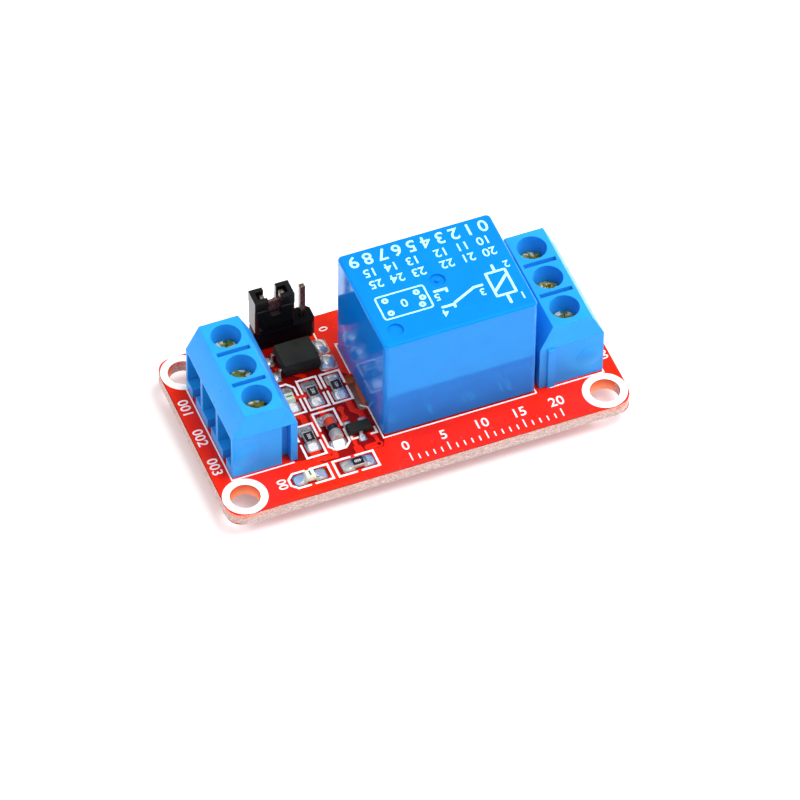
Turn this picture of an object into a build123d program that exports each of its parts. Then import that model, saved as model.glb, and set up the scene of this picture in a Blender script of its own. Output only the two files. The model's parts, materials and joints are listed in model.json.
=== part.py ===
from build123d import *
import os

# Relay module board. The origin is the centre of the mounting hole pattern on the board's
# underside, +X points to the output terminals, +Y to the header's side and +Z is up.
# Lengths are in millimetres and angles in degrees.

# Board
board_thickness = 1.6
board_corner_radius = 2.5
hole_inset = 2.75
mounting_hole_radius = 1.75
end_margin = 5.35
drill_clearance = 0.12
drill_sides = 12
pin_stickout = 2.0

# Terminal blocks: the same moulding at both ends of the board
poles = 3
pole_pitch = 5.0
block_depth = 8.1
block_end_extra = 0.15
partition = 0.6
block_height = 10.0
plateau_width = 4.85
shoulder_height = 6.6
end_lean = 0.15
entry_floor = 1.5
entry_top = 6.4
well_radius = 1.8
rib_slot_width = 0.6
rib_slot_length = 4.1
rib_slot_depth = 3.0
sill_notch_width = 1.1
sill_notch_depth = 1.0
tongue_width = 0.9
tongue_depth = 0.35
tongue_offset = 2.65
tongue_height = 6.45
tongue_clearance = 0.1
groove_depth = 1.2
input_setback = 2.37
output_setback = 1.75
block_shift_y = 0.5

# Wire clamp of each pole
clamp_metal = 0.7
clamp_width = 3.4
clamp_length = 4.0
clamp_opening = 2.8
clamp_gap = 0.03
clamp_bend = 0.4
clamp_pin_width = 0.9
screw_radius = 1.2
screw_running_gap = 0.05
screw_head_radius = 1.7
screw_head_height = 1.3
screw_head_lift = 0.7
screw_head_bevel = 0.3
screw_length = 3.1
screw_recess_width = 0.5
screw_recess_depth = 0.6
screw_recess_angles = (20, -35, 75)
guard_metal = 0.3
guard_width = 3.0
guard_lip_height = 1.75
guard_lip_gap = 0.55
guard_back_gap = 0.3

# Relay
relay_length = 19.15
relay_width = 15.3
relay_height = 15.57
relay_wall = 0.8
relay_corner_radius = 0.6
relay_edge_radius = 0.35
relay_standoff = 0.3
relay_gap = 0.55
relay_shift_y = 0.1
base_recess = 0.3
base_thickness = 1.8
base_clearance = 0.05
foot_size = 1.2
foot_inset_x = 5.0
foot_inset_y = 1.4
dimple_radius = 0.95
dimple_depth = 0.3
nub_radius = 0.25
vent_inset = 2.2
common_pin_inset = 2.3
coil_pin_offset = 2.0
contact_pin_inset = 2.5
side_pin_inset = 1.65
relay_pin_width = 0.9
relay_strip = 0.3
coil_pin_size = 0.6
coil_pin_rise = 1.8
yoke_metal = 1.2
yoke_width = 10.0
coil_axis_offset = 6.4
coil_radius = 4.9
core_radius = 1.75
bobbin_wall = 0.5
bobbin_flange = 0.8
bobbin_width = 11.0
winding_height = 5.45
pole_radius = 3.3
pole_thickness = 0.8
armature_metal = 1.0
armature_gap = 1.7
armature_width = 9.6
armature_lift = 3.5
air_gap = 0.03
spring_metal = 0.2
spring_width = 2.6
spring_shoulder = 5.0
contact_radius = 0.9
contact_height = 0.35
contact_setback = 1.0
contact_plate_step = 1.0

# Zone between the input block and the relay, where the small parts stand
parts_zone = 10.58

# Pin header and its jumper cap
header_pins = 3
header_pitch = 2.54
header_depth = 2.54
header_height = 2.8
header_chamfer = 0.5
header_edge_gap = 0.25
header_relay_gap = 1.6
header_pin_size = 0.64
header_pin_height = 8.0
header_pin_point = 0.15
jumper_poles = 2
jumper_rest_gap = 0.1
jumper_side_gap = 0.05
jumper_height = 5.3
jumper_shoulder = 3.75
jumper_tower = 1.7
jumper_tower_inset = 0.1
jumper_chamfer = 0.25
clip_metal = 0.2
clip_gap = 0.04
clip_rise = 0.9
clip_stand = 0.7
cap_window_depth = 1.1
cap_window_radius = 0.4

# Small surface parts
coupler_length = 4.6
coupler_width = 3.8
coupler_height = 2.1
coupler_lift = 0.12
coupler_draft = 7
coupler_lead_pitch = 2.54
coupler_lead_span = 6.8
coupler_lead_width = 0.4
coupler_dot_radius = 0.3
coupler_dot_depth = 0.05
lead_metal = 0.2
lead_foot = 0.7
chip_length = 2.0
chip_width = 1.25
chip_height = 0.5
chip_cap = 0.35
chip_cap_step = 0.02
led_base = 0.35
led_lens_length = 1.2
led_lens_height = 0.45
led_lens_draft = 10
diode_length = 3.5
diode_radius = 0.68
diode_cap = 0.45
diode_cap_step = 0.06
transistor_length = 2.9
transistor_width = 1.3
transistor_height = 1.0
transistor_lift = 0.1
transistor_draft = 7
transistor_pitch = 0.95
transistor_span = 2.5
transistor_lead_width = 0.42
transistor_foot = 0.35

# Rows of the small parts from the header forwards, columns from the relay to the left
coupler_row = 4.6
upper_row = 5.2
lower_row = 6.4
transistor_row = 7.2
front_row = 5.5
first_column = 2.35
column_pitch = 2.95

# Isolation slot round the relay's common pin
slot_width = 1.2
slot_height = 5.8
slot_leg_gap = 0.5
slot_arm = 5.5

# Solder
solder_height = 1.3
solder_spread = 0.8
solder_neck = 0.15
solder_sides = 8
chip_solder_reach = 0.65
chip_solder_share = 0.8
lead_solder_reach = 0.5

# Places that follow from the sizes above
block_length = poles * pole_pitch + 2 * block_end_extra
board_length = (input_setback + block_depth + parts_zone + relay_length
                + relay_gap + block_depth + output_setback)
board_width = block_length + 2 * end_margin
board_top = board_thickness
pin_tip = -pin_stickout
input_x = -board_length / 2 + input_setback + block_depth / 2
output_x = board_length / 2 - output_setback - block_depth / 2
relay_left = input_x + block_depth / 2 + parts_zone
relay_x = relay_left + relay_length / 2
pole_rows = [(index - (poles - 1) / 2) * pole_pitch for index in range(poles)]
header_length = header_pins * header_pitch
header_x = relay_left - header_relay_gap - header_length / 2
header_y = board_width / 2 - header_edge_gap - header_depth / 2
columns = [relay_left - first_column - index * column_pitch for index in range(3)]
coupler_y = header_y - coupler_row
upper_y = coupler_y - upper_row
lower_y = upper_y - lower_row
transistor_y = upper_y - transistor_row
front_y = lower_y - front_row

os.makedirs("parts", exist_ok=True)


def save(form, name):
    """Label one finished piece and write it as its own node."""
    form.label = name
    export_step(form, f"parts/{name}.step")


# Pins that pass the board: the place and the size across X and Y of each
side_pin_offset = relay_width / 2 - side_pin_inset
common_pin_x = -relay_length / 2 + common_pin_inset
contact_pin_x = relay_length / 2 - contact_pin_inset
relay_pins = {
    "common": (common_pin_x, 0, relay_strip, relay_pin_width),
    "open": (contact_pin_x, -side_pin_offset, relay_strip, relay_pin_width),
    "closed": (contact_pin_x, side_pin_offset, relay_strip, relay_pin_width),
    "coil_start": (common_pin_x + coil_pin_offset, -side_pin_offset, coil_pin_size, coil_pin_size),
    "coil_end": (common_pin_x + coil_pin_offset, side_pin_offset, coil_pin_size, coil_pin_size),
}
header_pin_xs = [header_x + (index - (header_pins - 1) / 2) * header_pitch for index in range(header_pins)]


def pin_reach(size_x, size_y):
    """Distance from a rectangular pin's axis to its corners."""
    return (size_x ** 2 + size_y ** 2) ** 0.5 / 2


def drill(size_x, size_y):
    """Cut the drilled hole of a pin, drawn with a few sides, from the sketch of the board."""
    RegularPolygon(pin_reach(size_x, size_y) + drill_clearance, drill_sides, mode=Mode.SUBTRACT)


terminal_drills = [(x, block_shift_y + turn * row) for x, turn in ((input_x, 1), (output_x, -1))
                   for row in pole_rows]

# Board: rounded outline, four mounting holes, a drill for each pin and the isolation slot
hole_spacing_x = board_length - 2 * hole_inset
hole_spacing_y = board_width - 2 * hole_inset
slot_leg_x = relay_left - slot_leg_gap
slot_rise = slot_height - slot_width
with BuildPart() as board:
    with BuildSketch():
        RectangleRounded(board_length, board_width, board_corner_radius)
        with GridLocations(hole_spacing_x, hole_spacing_y, 2, 2):
            Circle(mounting_hole_radius, mode=Mode.SUBTRACT)
        with Locations(*terminal_drills):
            drill(clamp_pin_width, clamp_pin_width)
        for x, y, size_x, size_y in relay_pins.values():
            with Locations((relay_x + x, relay_shift_y + y)):
                drill(size_x, size_y)
        with Locations(*[(x, header_y) for x in header_pin_xs]):
            drill(header_pin_size, header_pin_size)
        with BuildLine(mode=Mode.PRIVATE) as slot_path:
            Polyline((slot_leg_x + slot_arm, relay_shift_y - slot_rise / 2),
                     (slot_leg_x, relay_shift_y - slot_rise / 2),
                     (slot_leg_x, relay_shift_y + slot_rise / 2),
                     (slot_leg_x + slot_arm, relay_shift_y + slot_rise / 2))
        for edge in slot_path.edges():
            SlotCenterToCenter(edge.length, slot_width, mode=Mode.PRIVATE)
            with Locations(Location(edge @ 0.5, (0, 0, edge.tangent_angle_at(0.5)))):
                SlotCenterToCenter(edge.length, slot_width, mode=Mode.SUBTRACT)
    extrude(amount=board_thickness)
save(board.part, "board")

# Terminal block moulding, drawn about its own centre with the wire entries at -X
clamp_floor = entry_floor
clamp_back = clamp_length / 2
clamp_front = -clamp_length / 2
clamp_top = clamp_floor + 2 * clamp_metal + clamp_opening
entry_half = (pole_pitch - partition) / 2
mouth_depth = block_depth / 2 + clamp_front - clamp_gap
with BuildPart() as housing:
    with BuildSketch(Plane.XZ):
        with BuildLine():
            Polyline((-block_depth / 2, 0), (-block_depth / 2, shoulder_height),
                     (-plateau_width / 2, block_height), (plateau_width / 2, block_height),
                     (block_depth / 2, shoulder_height), (block_depth / 2, 0), close=True)
        make_face()
    extrude(amount=block_length / 2, both=True)
    with BuildSketch(Plane.YZ):
        with BuildLine():
            Polyline((-block_length / 2, 0), (-block_length / 2, shoulder_height),
                     (end_lean - block_length / 2, block_height),
                     (block_length / 2 - end_lean, block_height),
                     (block_length / 2, shoulder_height), (block_length / 2, 0), close=True)
        make_face()
    extrude(amount=block_depth, both=True, mode=Mode.INTERSECT)
    # Wells over the screws
    with BuildSketch(Plane.XY.offset(block_height)):
        with Locations(*[(0, row) for row in pole_rows]):
            Circle(well_radius)
    extrude(amount=clamp_top - block_height, mode=Mode.SUBTRACT)
    # Chambers of the wire clamps, and the taller mouths in front of them
    with BuildSketch(Plane.XY.offset(clamp_floor)):
        with Locations(*[(clamp_back + clamp_gap, row) for row in pole_rows]):
            Rectangle(clamp_length + 2 * clamp_gap, 2 * entry_half, align=(Align.MAX, Align.CENTER))
    extrude(amount=clamp_top + clamp_gap - clamp_floor, mode=Mode.SUBTRACT)
    with BuildSketch(Plane.XY.offset(entry_floor)):
        with Locations(*[(-block_depth / 2, row) for row in pole_rows]):
            Rectangle(mouth_depth, 2 * entry_half, align=(Align.MIN, Align.CENTER))
    extrude(amount=entry_top - entry_floor, mode=Mode.SUBTRACT)
    # Notch in each sill and the hole for each pin
    with BuildSketch():
        with Locations(*[(-block_depth / 2, row) for row in pole_rows]):
            Rectangle(sill_notch_depth, sill_notch_width, align=(Align.MIN, Align.CENTER))
        with Locations(*[(0, row) for row in pole_rows]):
            Rectangle(clamp_pin_width + 2 * clamp_gap, clamp_pin_width + 2 * clamp_gap)
    extrude(amount=clamp_floor, mode=Mode.SUBTRACT)
    # Narrow slots in the top between the poles
    with BuildSketch(Plane.XY.offset(block_height)):
        with Locations(*[(0, row + pole_pitch / 2) for row in pole_rows[:-1]]):
            Rectangle(rib_slot_length, rib_slot_width)
    extrude(amount=-rib_slot_depth, mode=Mode.SUBTRACT)
    # Joining groove on one end and tongue on the other
    with BuildSketch():
        with Locations((tongue_offset, -block_length / 2)):
            Rectangle(tongue_width + 2 * tongue_clearance, groove_depth, align=(Align.CENTER, Align.MIN))
    extrude(amount=tongue_height, mode=Mode.SUBTRACT)
    with BuildSketch():
        with Locations((tongue_offset, block_length / 2)):
            Rectangle(tongue_width, tongue_depth, align=(Align.CENTER, Align.MIN))
    extrude(amount=tongue_height)

# Wire clamp: a bent strip with the thread in its top leg and the pin under its bottom leg
with BuildPart() as clamp:
    with BuildSketch(Plane.XZ):
        with BuildLine():
            Polyline((clamp_front, clamp_floor), (clamp_back, clamp_floor), (clamp_back, clamp_top),
                     (clamp_front, clamp_top), (clamp_front, clamp_top - clamp_metal),
                     (clamp_back - clamp_metal, clamp_top - clamp_metal),
                     (clamp_back - clamp_metal, clamp_floor + clamp_metal),
                     (clamp_front, clamp_floor + clamp_metal), close=True)
        make_face()
    extrude(amount=clamp_width / 2, both=True)
    fillet(clamp.edges().filter_by(Axis.Y).group_by(Axis.X)[-1], radius=clamp_bend)
    with BuildSketch(Plane.XY.offset(clamp_top)):
        Circle(screw_radius + screw_running_gap)
    extrude(amount=-clamp_metal, mode=Mode.SUBTRACT)
    with BuildSketch(Plane.XY.offset(clamp_floor)):
        Rectangle(clamp_pin_width, clamp_pin_width)
    extrude(amount=pin_tip - board_top - clamp_floor)

# Wire guard: a leaf that hangs under the screw, with a lip turned up in front of the clamp
screw_head_base = clamp_top + screw_head_lift
screw_tip = screw_head_base - screw_length
guard_top = screw_tip - clamp_gap
guard_base = guard_top - guard_metal
guard_front = clamp_front - guard_lip_gap - guard_metal
with BuildPart() as guard:
    with BuildSketch(Plane.XZ):
        with BuildLine():
            Polyline((guard_front, guard_base), (clamp_back - clamp_metal - guard_back_gap, guard_base),
                     (clamp_back - clamp_metal - guard_back_gap, guard_top),
                     (guard_front + guard_metal, guard_top),
                     (guard_front + guard_metal, guard_base + guard_lip_height),
                     (guard_front, guard_base + guard_lip_height), close=True)
        make_face()
    extrude(amount=guard_width / 2, both=True)
    fillet(guard.edges().filter_by(Axis.Y).group_by(Axis.X)[0].group_by(Axis.Z)[0], radius=guard_metal)


def clamp_screw(angle):
    """One clamp screw: a bevelled head with a cross recess on a plain shank."""
    head_top = screw_head_base + screw_head_height
    with BuildPart() as screw:
        with BuildSketch(Plane.XZ):
            with BuildLine():
                Polyline((0, screw_tip), (screw_radius, screw_tip), (screw_radius, screw_head_base),
                         (screw_head_radius, screw_head_base),
                         (screw_head_radius, head_top - screw_head_bevel),
                         (screw_head_radius - screw_head_bevel, head_top), (0, head_top), close=True)
            make_face()
        revolve(axis=Axis.Z)
        with BuildSketch(Plane.XY.offset(head_top)):
            Rectangle(2 * screw_head_radius, screw_recess_width, rotation=angle)
            Rectangle(screw_recess_width, 2 * screw_head_radius - 4 * screw_head_bevel, rotation=angle)
        extrude(amount=-screw_recess_depth, mode=Mode.SUBTRACT)
    return screw.part


# Both blocks in place, the output one turned half a turn
block_sites = {
    "input": Plane((input_x, block_shift_y, board_top)),
    "output": Plane((output_x, block_shift_y, board_top), x_dir=(-1, 0, 0)),
}
for end, site in block_sites.items():
    with BuildPart() as placed_housing:
        with Locations(site):
            add(housing.part)
    save(placed_housing.part, f"{end}_terminal_housing")
    for pole, (row, angle) in enumerate(zip(pole_rows, screw_recess_angles), start=1):
        pieces = {"contact": clamp.part, "wire_guard": guard.part, "screw": clamp_screw(angle)}
        for kind, form in pieces.items():
            with BuildPart() as placed:
                with Locations(site):
                    with Locations((0, row, 0)):
                        add(form)
            save(placed.part, f"{end}_{kind}_{pole}")

# Relay: all pieces are drawn from this floor plane and this upright plane
relay_floor = Plane((relay_x, relay_shift_y, board_top))
relay_upright = Plane((relay_x, relay_shift_y, board_top), x_dir=(1, 0, 0), z_dir=(0, -1, 0))
pin_drop = pin_tip - board_top

# Case: a rounded box open at the bottom, with the mould's dimples in its top
with BuildPart() as relay_case:
    with BuildSketch(relay_floor.offset(relay_standoff)):
        RectangleRounded(relay_length, relay_width, relay_corner_radius)
    extrude(amount=relay_height - relay_standoff)
    fillet(relay_case.faces().sort_by(Axis.Z)[-1].edges(), radius=relay_edge_radius)
    with BuildSketch(relay_floor.offset(relay_standoff)):
        Rectangle(relay_length - 2 * relay_wall, relay_width - 2 * relay_wall)
    extrude(amount=relay_height - relay_wall - relay_standoff, mode=Mode.SUBTRACT)
    with BuildSketch(relay_floor.offset(relay_height)):
        Circle(dimple_radius)
        Circle(nub_radius, mode=Mode.SUBTRACT)
        with Locations((vent_inset - relay_length / 2, vent_inset - relay_width / 2)):
            Circle(dimple_radius)
    extrude(amount=-dimple_depth, mode=Mode.SUBTRACT)
save(relay_case.part, "relay_case")

# Base: a plate inside the case with four feet and a slot for each pin
base_floor = relay_standoff + base_recess
base_top = base_floor + base_thickness
base_length = relay_length - 2 * relay_wall - 2 * base_clearance
base_width = relay_width - 2 * relay_wall - 2 * base_clearance
with BuildPart() as relay_base:
    with BuildSketch(relay_floor.offset(base_floor)):
        Rectangle(base_length, base_width)
    extrude(amount=base_thickness)
    with BuildSketch(relay_floor):
        with GridLocations(base_length - 2 * foot_inset_x, base_width - 2 * foot_inset_y, 2, 2):
            Rectangle(foot_size, foot_size)
    extrude(amount=base_floor)
    with BuildSketch(relay_floor.offset(base_floor)):
        for x, y, size_x, size_y in relay_pins.values():
            with Locations((x, y)):
                Rectangle(size_x + 2 * base_clearance, size_y + 2 * base_clearance)
    extrude(amount=base_thickness, mode=Mode.SUBTRACT)
save(relay_base.part, "relay_base")

# Yoke: an L with its foot under the bobbin and its leg up the back
yoke_back = common_pin_x + relay_strip / 2 + base_clearance
coil_x = yoke_back + coil_axis_offset
contact_x = contact_pin_x - contact_setback
contact_reach = contact_x - yoke_back
armature_length = contact_reach - spring_width / 2 - armature_gap
flange_floor = base_top + yoke_metal
winding_floor = flange_floor + bobbin_flange
winding_top = winding_floor + winding_height
pole_floor = winding_top + bobbin_flange
yoke_top = pole_floor + pole_thickness
with BuildPart() as relay_yoke:
    with BuildSketch(relay_upright):
        with BuildLine():
            Polyline((yoke_back, base_top), (coil_x + pole_radius, base_top),
                     (coil_x + pole_radius, flange_floor), (yoke_back + yoke_metal, flange_floor),
                     (yoke_back + yoke_metal, yoke_top), (yoke_back, yoke_top), close=True)
        make_face()
    extrude(amount=yoke_width / 2, both=True)
    with BuildSketch(relay_floor.offset(base_top)):
        with Locations((coil_x, 0)):
            Circle(core_radius)
    extrude(amount=yoke_metal, mode=Mode.SUBTRACT)
save(relay_yoke.part, "relay_yoke")

# Core: a round bar with the pole face on top
with BuildPart() as relay_core:
    with BuildSketch(relay_floor.offset(base_top)):
        with Locations((coil_x, 0)):
            Circle(core_radius - air_gap)
    extrude(amount=pole_floor - base_top)
    with BuildSketch(relay_floor.offset(pole_floor)):
        with Locations((coil_x, 0)):
            Circle(pole_radius)
    extrude(amount=pole_thickness)
save(relay_core.part, "relay_core")

# Bobbin: two flanges on a tube
flange_length = 2 * (coil_axis_offset - yoke_metal) - 2 * base_clearance
with BuildPart() as relay_bobbin:
    with BuildSketch(relay_floor.offset(flange_floor), relay_floor.offset(winding_top)):
        with Locations((coil_x, 0)):
            Rectangle(flange_length, bobbin_width)
    extrude(amount=bobbin_flange)
    with BuildSketch(relay_floor.offset(winding_floor)):
        with Locations((coil_x, 0)):
            Circle(core_radius + bobbin_wall)
    extrude(amount=winding_height)
    with BuildSketch(relay_floor.offset(flange_floor)):
        with Locations((coil_x, 0)):
            Circle(core_radius + air_gap)
    extrude(amount=pole_floor - flange_floor, mode=Mode.SUBTRACT)
save(relay_bobbin.part, "relay_bobbin")

# Coil: the winding as one ring between the flanges
with BuildPart() as relay_coil:
    with BuildSketch(relay_floor.offset(winding_floor)):
        with Locations((coil_x, 0)):
            Circle(coil_radius)
            Circle(core_radius + bobbin_wall + air_gap, mode=Mode.SUBTRACT)
    extrude(amount=winding_height)
save(relay_coil.part, "relay_coil")

# Coil pins
with BuildPart() as relay_coil_pins:
    with BuildSketch(relay_floor.offset(pin_drop)):
        for name in ("coil_start", "coil_end"):
            x, y, size_x, size_y = relay_pins[name]
            with Locations((x, y)):
                Rectangle(size_x, size_y)
    extrude(amount=base_top + coil_pin_rise - pin_drop)
save(relay_coil_pins.part, "relay_coil_pins")

# Heights of the contacts: the armature lies flat on the pole face when it is pulled down
hinge_z = yoke_top + air_gap
lift_sine = 0.01745329 * armature_lift
spring_floor = hinge_z + armature_metal
open_contact_top = spring_floor - contact_height - air_gap
closed_contact_floor = (spring_floor + spring_metal + contact_height
                        + lift_sine * (contact_reach + contact_radius) + air_gap)
plate_x = contact_pin_x + contact_plate_step
tab_end = contact_x - spring_width / 2

# Common strip: the pin below, the fixed end of the spring up the yoke's back
with BuildPart() as relay_common_strip:
    with BuildSketch(relay_floor.offset(pin_drop)):
        with Locations((common_pin_x, 0)):
            Rectangle(relay_strip, relay_pin_width)
    extrude(amount=base_top - pin_drop)
    with BuildSketch(relay_floor.offset(base_top)):
        with Locations((common_pin_x, 0)):
            Rectangle(relay_strip, spring_shoulder)
    extrude(amount=yoke_top - relay_strip - base_top)
save(relay_common_strip.part, "relay_common_strip")


def fixed_contact(pin, side, contact_floor, contact_top, plate_top, tab_floor):
    """A fixed contact: pin, foot, upright plate on one side and a tab with its contact."""
    x, y, size_x, size_y = relay_pins[pin]
    plate_outer = side * (side_pin_offset + relay_pin_width / 2)
    plate_inner = side * contact_height
    with BuildPart() as form:
        with BuildSketch(relay_floor.offset(pin_drop)):
            with Locations((x, y)):
                Rectangle(size_x, size_y)
        extrude(amount=base_top - pin_drop)
        with BuildSketch(relay_floor.offset(base_top)):
            with Locations((x - size_x / 2, y)):
                Rectangle(contact_plate_step + size_x, size_y, align=(Align.MIN, Align.CENTER))
        extrude(amount=relay_strip)
        with BuildSketch(relay_floor.offset(base_top)):
            with Locations((plate_x, (plate_outer + plate_inner) / 2)):
                Rectangle(relay_strip, abs(plate_outer - plate_inner))
        extrude(amount=plate_top - base_top)
        with BuildSketch(relay_floor.offset(tab_floor)):
            with Locations((tab_end, 0)):
                Rectangle(plate_x - relay_strip - tab_end, spring_width, align=(Align.MIN, Align.CENTER))
            with Locations((tab_end, side * (contact_height + spring_width / 2) / 2)):
                Rectangle(plate_x + relay_strip / 2 - tab_end, spring_width / 2 - contact_height,
                          align=(Align.MIN, Align.CENTER))
        extrude(amount=relay_strip)
        with BuildSketch(relay_floor.offset(contact_floor)):
            with Locations((contact_x, 0)):
                Circle(contact_radius)
        extrude(amount=contact_top - contact_floor)
    return form.part


open_tab_floor = open_contact_top - contact_height - relay_strip
closed_tab_floor = closed_contact_floor + contact_height
save(fixed_contact("open", -1, open_tab_floor + relay_strip, open_contact_top,
                   open_tab_floor + relay_strip, open_tab_floor), "relay_open_contact")
save(fixed_contact("closed", 1, closed_contact_floor, closed_tab_floor,
                   closed_tab_floor + relay_strip, closed_tab_floor), "relay_closed_contact")

# Armature and its contact spring, drawn flat from the hinge edge and stored lifted
armature_rest = Location((relay_x + yoke_back, relay_shift_y, board_top + hinge_z), (0, -armature_lift, 0))
with BuildPart() as armature_flat:
    with BuildSketch():
        with Locations((armature_length / 2, 0)):
            RectangleRounded(armature_length, armature_width, contact_height)
    extrude(amount=armature_metal)
with BuildPart() as relay_armature:
    with Locations(armature_rest):
        add(armature_flat.part)
save(relay_armature.part, "relay_armature")

with BuildPart() as spring_flat:
    with BuildSketch(Plane.XY.offset(armature_metal)):
        with Locations((-spring_metal, 0)):
            Rectangle(armature_length + spring_metal, spring_shoulder, align=(Align.MIN, Align.CENTER))
            Rectangle(contact_reach + spring_width / 2 + spring_metal, spring_width,
                      align=(Align.MIN, Align.CENTER))
    extrude(amount=spring_metal)
    with BuildSketch(Plane.XY.offset(contact_height)):
        with Locations((-spring_metal / 2, 0)):
            Rectangle(spring_metal, spring_shoulder)
    extrude(amount=armature_metal - contact_height)
    with BuildSketch(Plane.XY.offset(armature_metal - contact_height)):
        with Locations((contact_reach, 0)):
            Circle(contact_radius)
    extrude(amount=spring_metal + 2 * contact_height)
with BuildPart() as relay_moving_contact:
    with Locations(armature_rest):
        add(spring_flat.part)
save(relay_moving_contact.part, "relay_moving_contact")

# Pin header
header_floor = Plane((header_x, header_y, board_top))
with BuildPart() as header_base:
    with BuildSketch(header_floor):
        with GridLocations(header_pitch, 0, header_pins, 1):
            Rectangle(header_pitch, header_depth)
    extrude(amount=header_height)
    chamfer(header_base.edges().filter_by(Axis.Z), length=header_chamfer)
    with BuildSketch(header_floor):
        with GridLocations(header_pitch, 0, header_pins, 1):
            Rectangle(header_pin_size, header_pin_size)
    extrude(amount=header_height, mode=Mode.SUBTRACT)
save(header_base.part, "header_base")

for number, pin_x in enumerate(header_pin_xs, start=1):
    with BuildPart() as header_pin:
        with BuildSketch(Plane((pin_x, header_y, pin_tip))):
            Rectangle(header_pin_size, header_pin_size)
        extrude(amount=board_top + header_pin_height - pin_tip)
        chamfer(header_pin.faces().sort_by(Axis.Z)[-1].edges(), length=header_pin_point)
    save(header_pin.part, f"header_pin_{number}")

# Jumper cap on the first pins: two end towers, each a C round the window over its pin
jumper_length = jumper_poles * header_pitch - 2 * jumper_side_gap
jumper_x = sum(header_pin_xs[:jumper_poles]) / jumper_poles
jumper_floor = header_height + jumper_rest_gap
cavity_size = header_pin_size + 2 * (clip_gap + clip_metal + clip_gap)
jumper_plane = Plane((jumper_x, header_y, board_top + jumper_floor))
with BuildPart() as jumper_cap:
    with BuildSketch(jumper_plane):
        Rectangle(jumper_length, header_depth)
    extrude(amount=jumper_shoulder)
    chamfer(jumper_cap.edges().filter_by(Axis.Z), length=jumper_chamfer)
    with BuildSketch(jumper_plane.offset(jumper_shoulder)):
        with GridLocations(jumper_length - jumper_tower, 0, 2, 1):
            Rectangle(jumper_tower, header_depth - 2 * jumper_tower_inset)
    extrude(amount=jumper_height - jumper_shoulder)
    with BuildSketch(jumper_plane):
        with GridLocations(header_pitch, 0, jumper_poles, 1):
            Rectangle(cavity_size, cavity_size)
    extrude(amount=jumper_height, mode=Mode.SUBTRACT)
    # A scoop between the towers, where the clip's bridge shows
    with BuildSketch(Plane((jumper_x, header_y, board_top + jumper_floor + jumper_shoulder),
                           x_dir=(1, 0, 0), z_dir=(0, -1, 0))):
        RectangleRounded(jumper_length - 2 * jumper_tower, 2 * cap_window_depth, cap_window_radius)
    extrude(amount=header_depth / 2, both=True, mode=Mode.SUBTRACT)
save(jumper_cap.part, "jumper_cap")

# Clip inside the cap: a square sleeve round each pin, joined by an upright strip at the front
with BuildPart() as jumper_clip:
    with BuildSketch(jumper_plane.offset(clip_gap)):
        with GridLocations(header_pitch, 0, jumper_poles, 1):
            Rectangle(cavity_size - 2 * clip_gap, cavity_size - 2 * clip_gap)
            Rectangle(header_pin_size + 2 * clip_gap, header_pin_size + 2 * clip_gap, mode=Mode.SUBTRACT)
    extrude(amount=jumper_shoulder - 2 * clip_gap)
    with BuildSketch(jumper_plane.offset(jumper_shoulder - clip_rise)):
        with Locations((0, clip_gap + clip_metal / 2 - cavity_size / 2)):
            Rectangle(header_pitch - header_pin_size - 2 * clip_gap - clip_metal, clip_metal)
    extrude(amount=clip_rise + clip_stand)
save(jumper_clip.part, "jumper_clip")


def moulded_body(plane, length, width, lift, height, draft):
    """A moulded body with a level band for its leads and drafted faces above and below it."""
    band_floor = (lift + height - lead_metal) / 2
    with BuildPart() as body:
        with BuildSketch(plane.offset(band_floor)):
            Rectangle(length, width)
        extrude(amount=lead_metal)
        extrude(body.faces().sort_by(Axis.Z)[-1], amount=height - band_floor - lead_metal, taper=draft)
        extrude(body.faces().sort_by(Axis.Z)[0], amount=band_floor - lift, taper=draft)
    return body.part


def gull_lead(body_half, span_half, foot, lift, height, width):
    """One bent lead from the body's band out and down to its foot, towards +X."""
    band_floor = (lift + height - lead_metal) / 2
    knee = span_half - foot
    with BuildPart() as lead:
        with BuildSketch(Plane.XZ):
            with BuildLine():
                Polyline((body_half, band_floor), (knee - lead_metal, band_floor),
                         (knee - lead_metal, 0), (span_half, 0), (span_half, lead_metal),
                         (knee, lead_metal), (knee, band_floor + lead_metal),
                         (body_half, band_floor + lead_metal), close=True)
            make_face()
        extrude(amount=width / 2, both=True)
    return lead.part


# Optocoupler
coupler_x = columns[1]
coupler_plane = Plane((coupler_x, coupler_y, board_top))
with BuildPart() as optocoupler_body:
    add(moulded_body(coupler_plane, coupler_length, coupler_width,
                     coupler_lift, coupler_height, coupler_draft))
    with BuildSketch(coupler_plane.offset(coupler_height)):
        with Locations((-coupler_length / 4, -coupler_width / 4)):
            Circle(coupler_dot_radius)
    extrude(amount=-coupler_dot_depth, mode=Mode.SUBTRACT)
save(optocoupler_body.part, "optocoupler_body")
coupler_feet = [(side, end * coupler_lead_pitch / 2) for side in (-1, 1) for end in (-1, 1)]
coupler_lead = gull_lead(coupler_length / 2, coupler_lead_span / 2, lead_foot,
                         coupler_lift, coupler_height, coupler_lead_width)
with BuildPart() as optocoupler_leads:
    with Locations(coupler_plane):
        for side, row in coupler_feet:
            with Locations(Location((0, row, 0), (0, 0, 90 - 90 * side))):
                add(coupler_lead)
save(optocoupler_leads.part, "optocoupler_leads")

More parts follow.
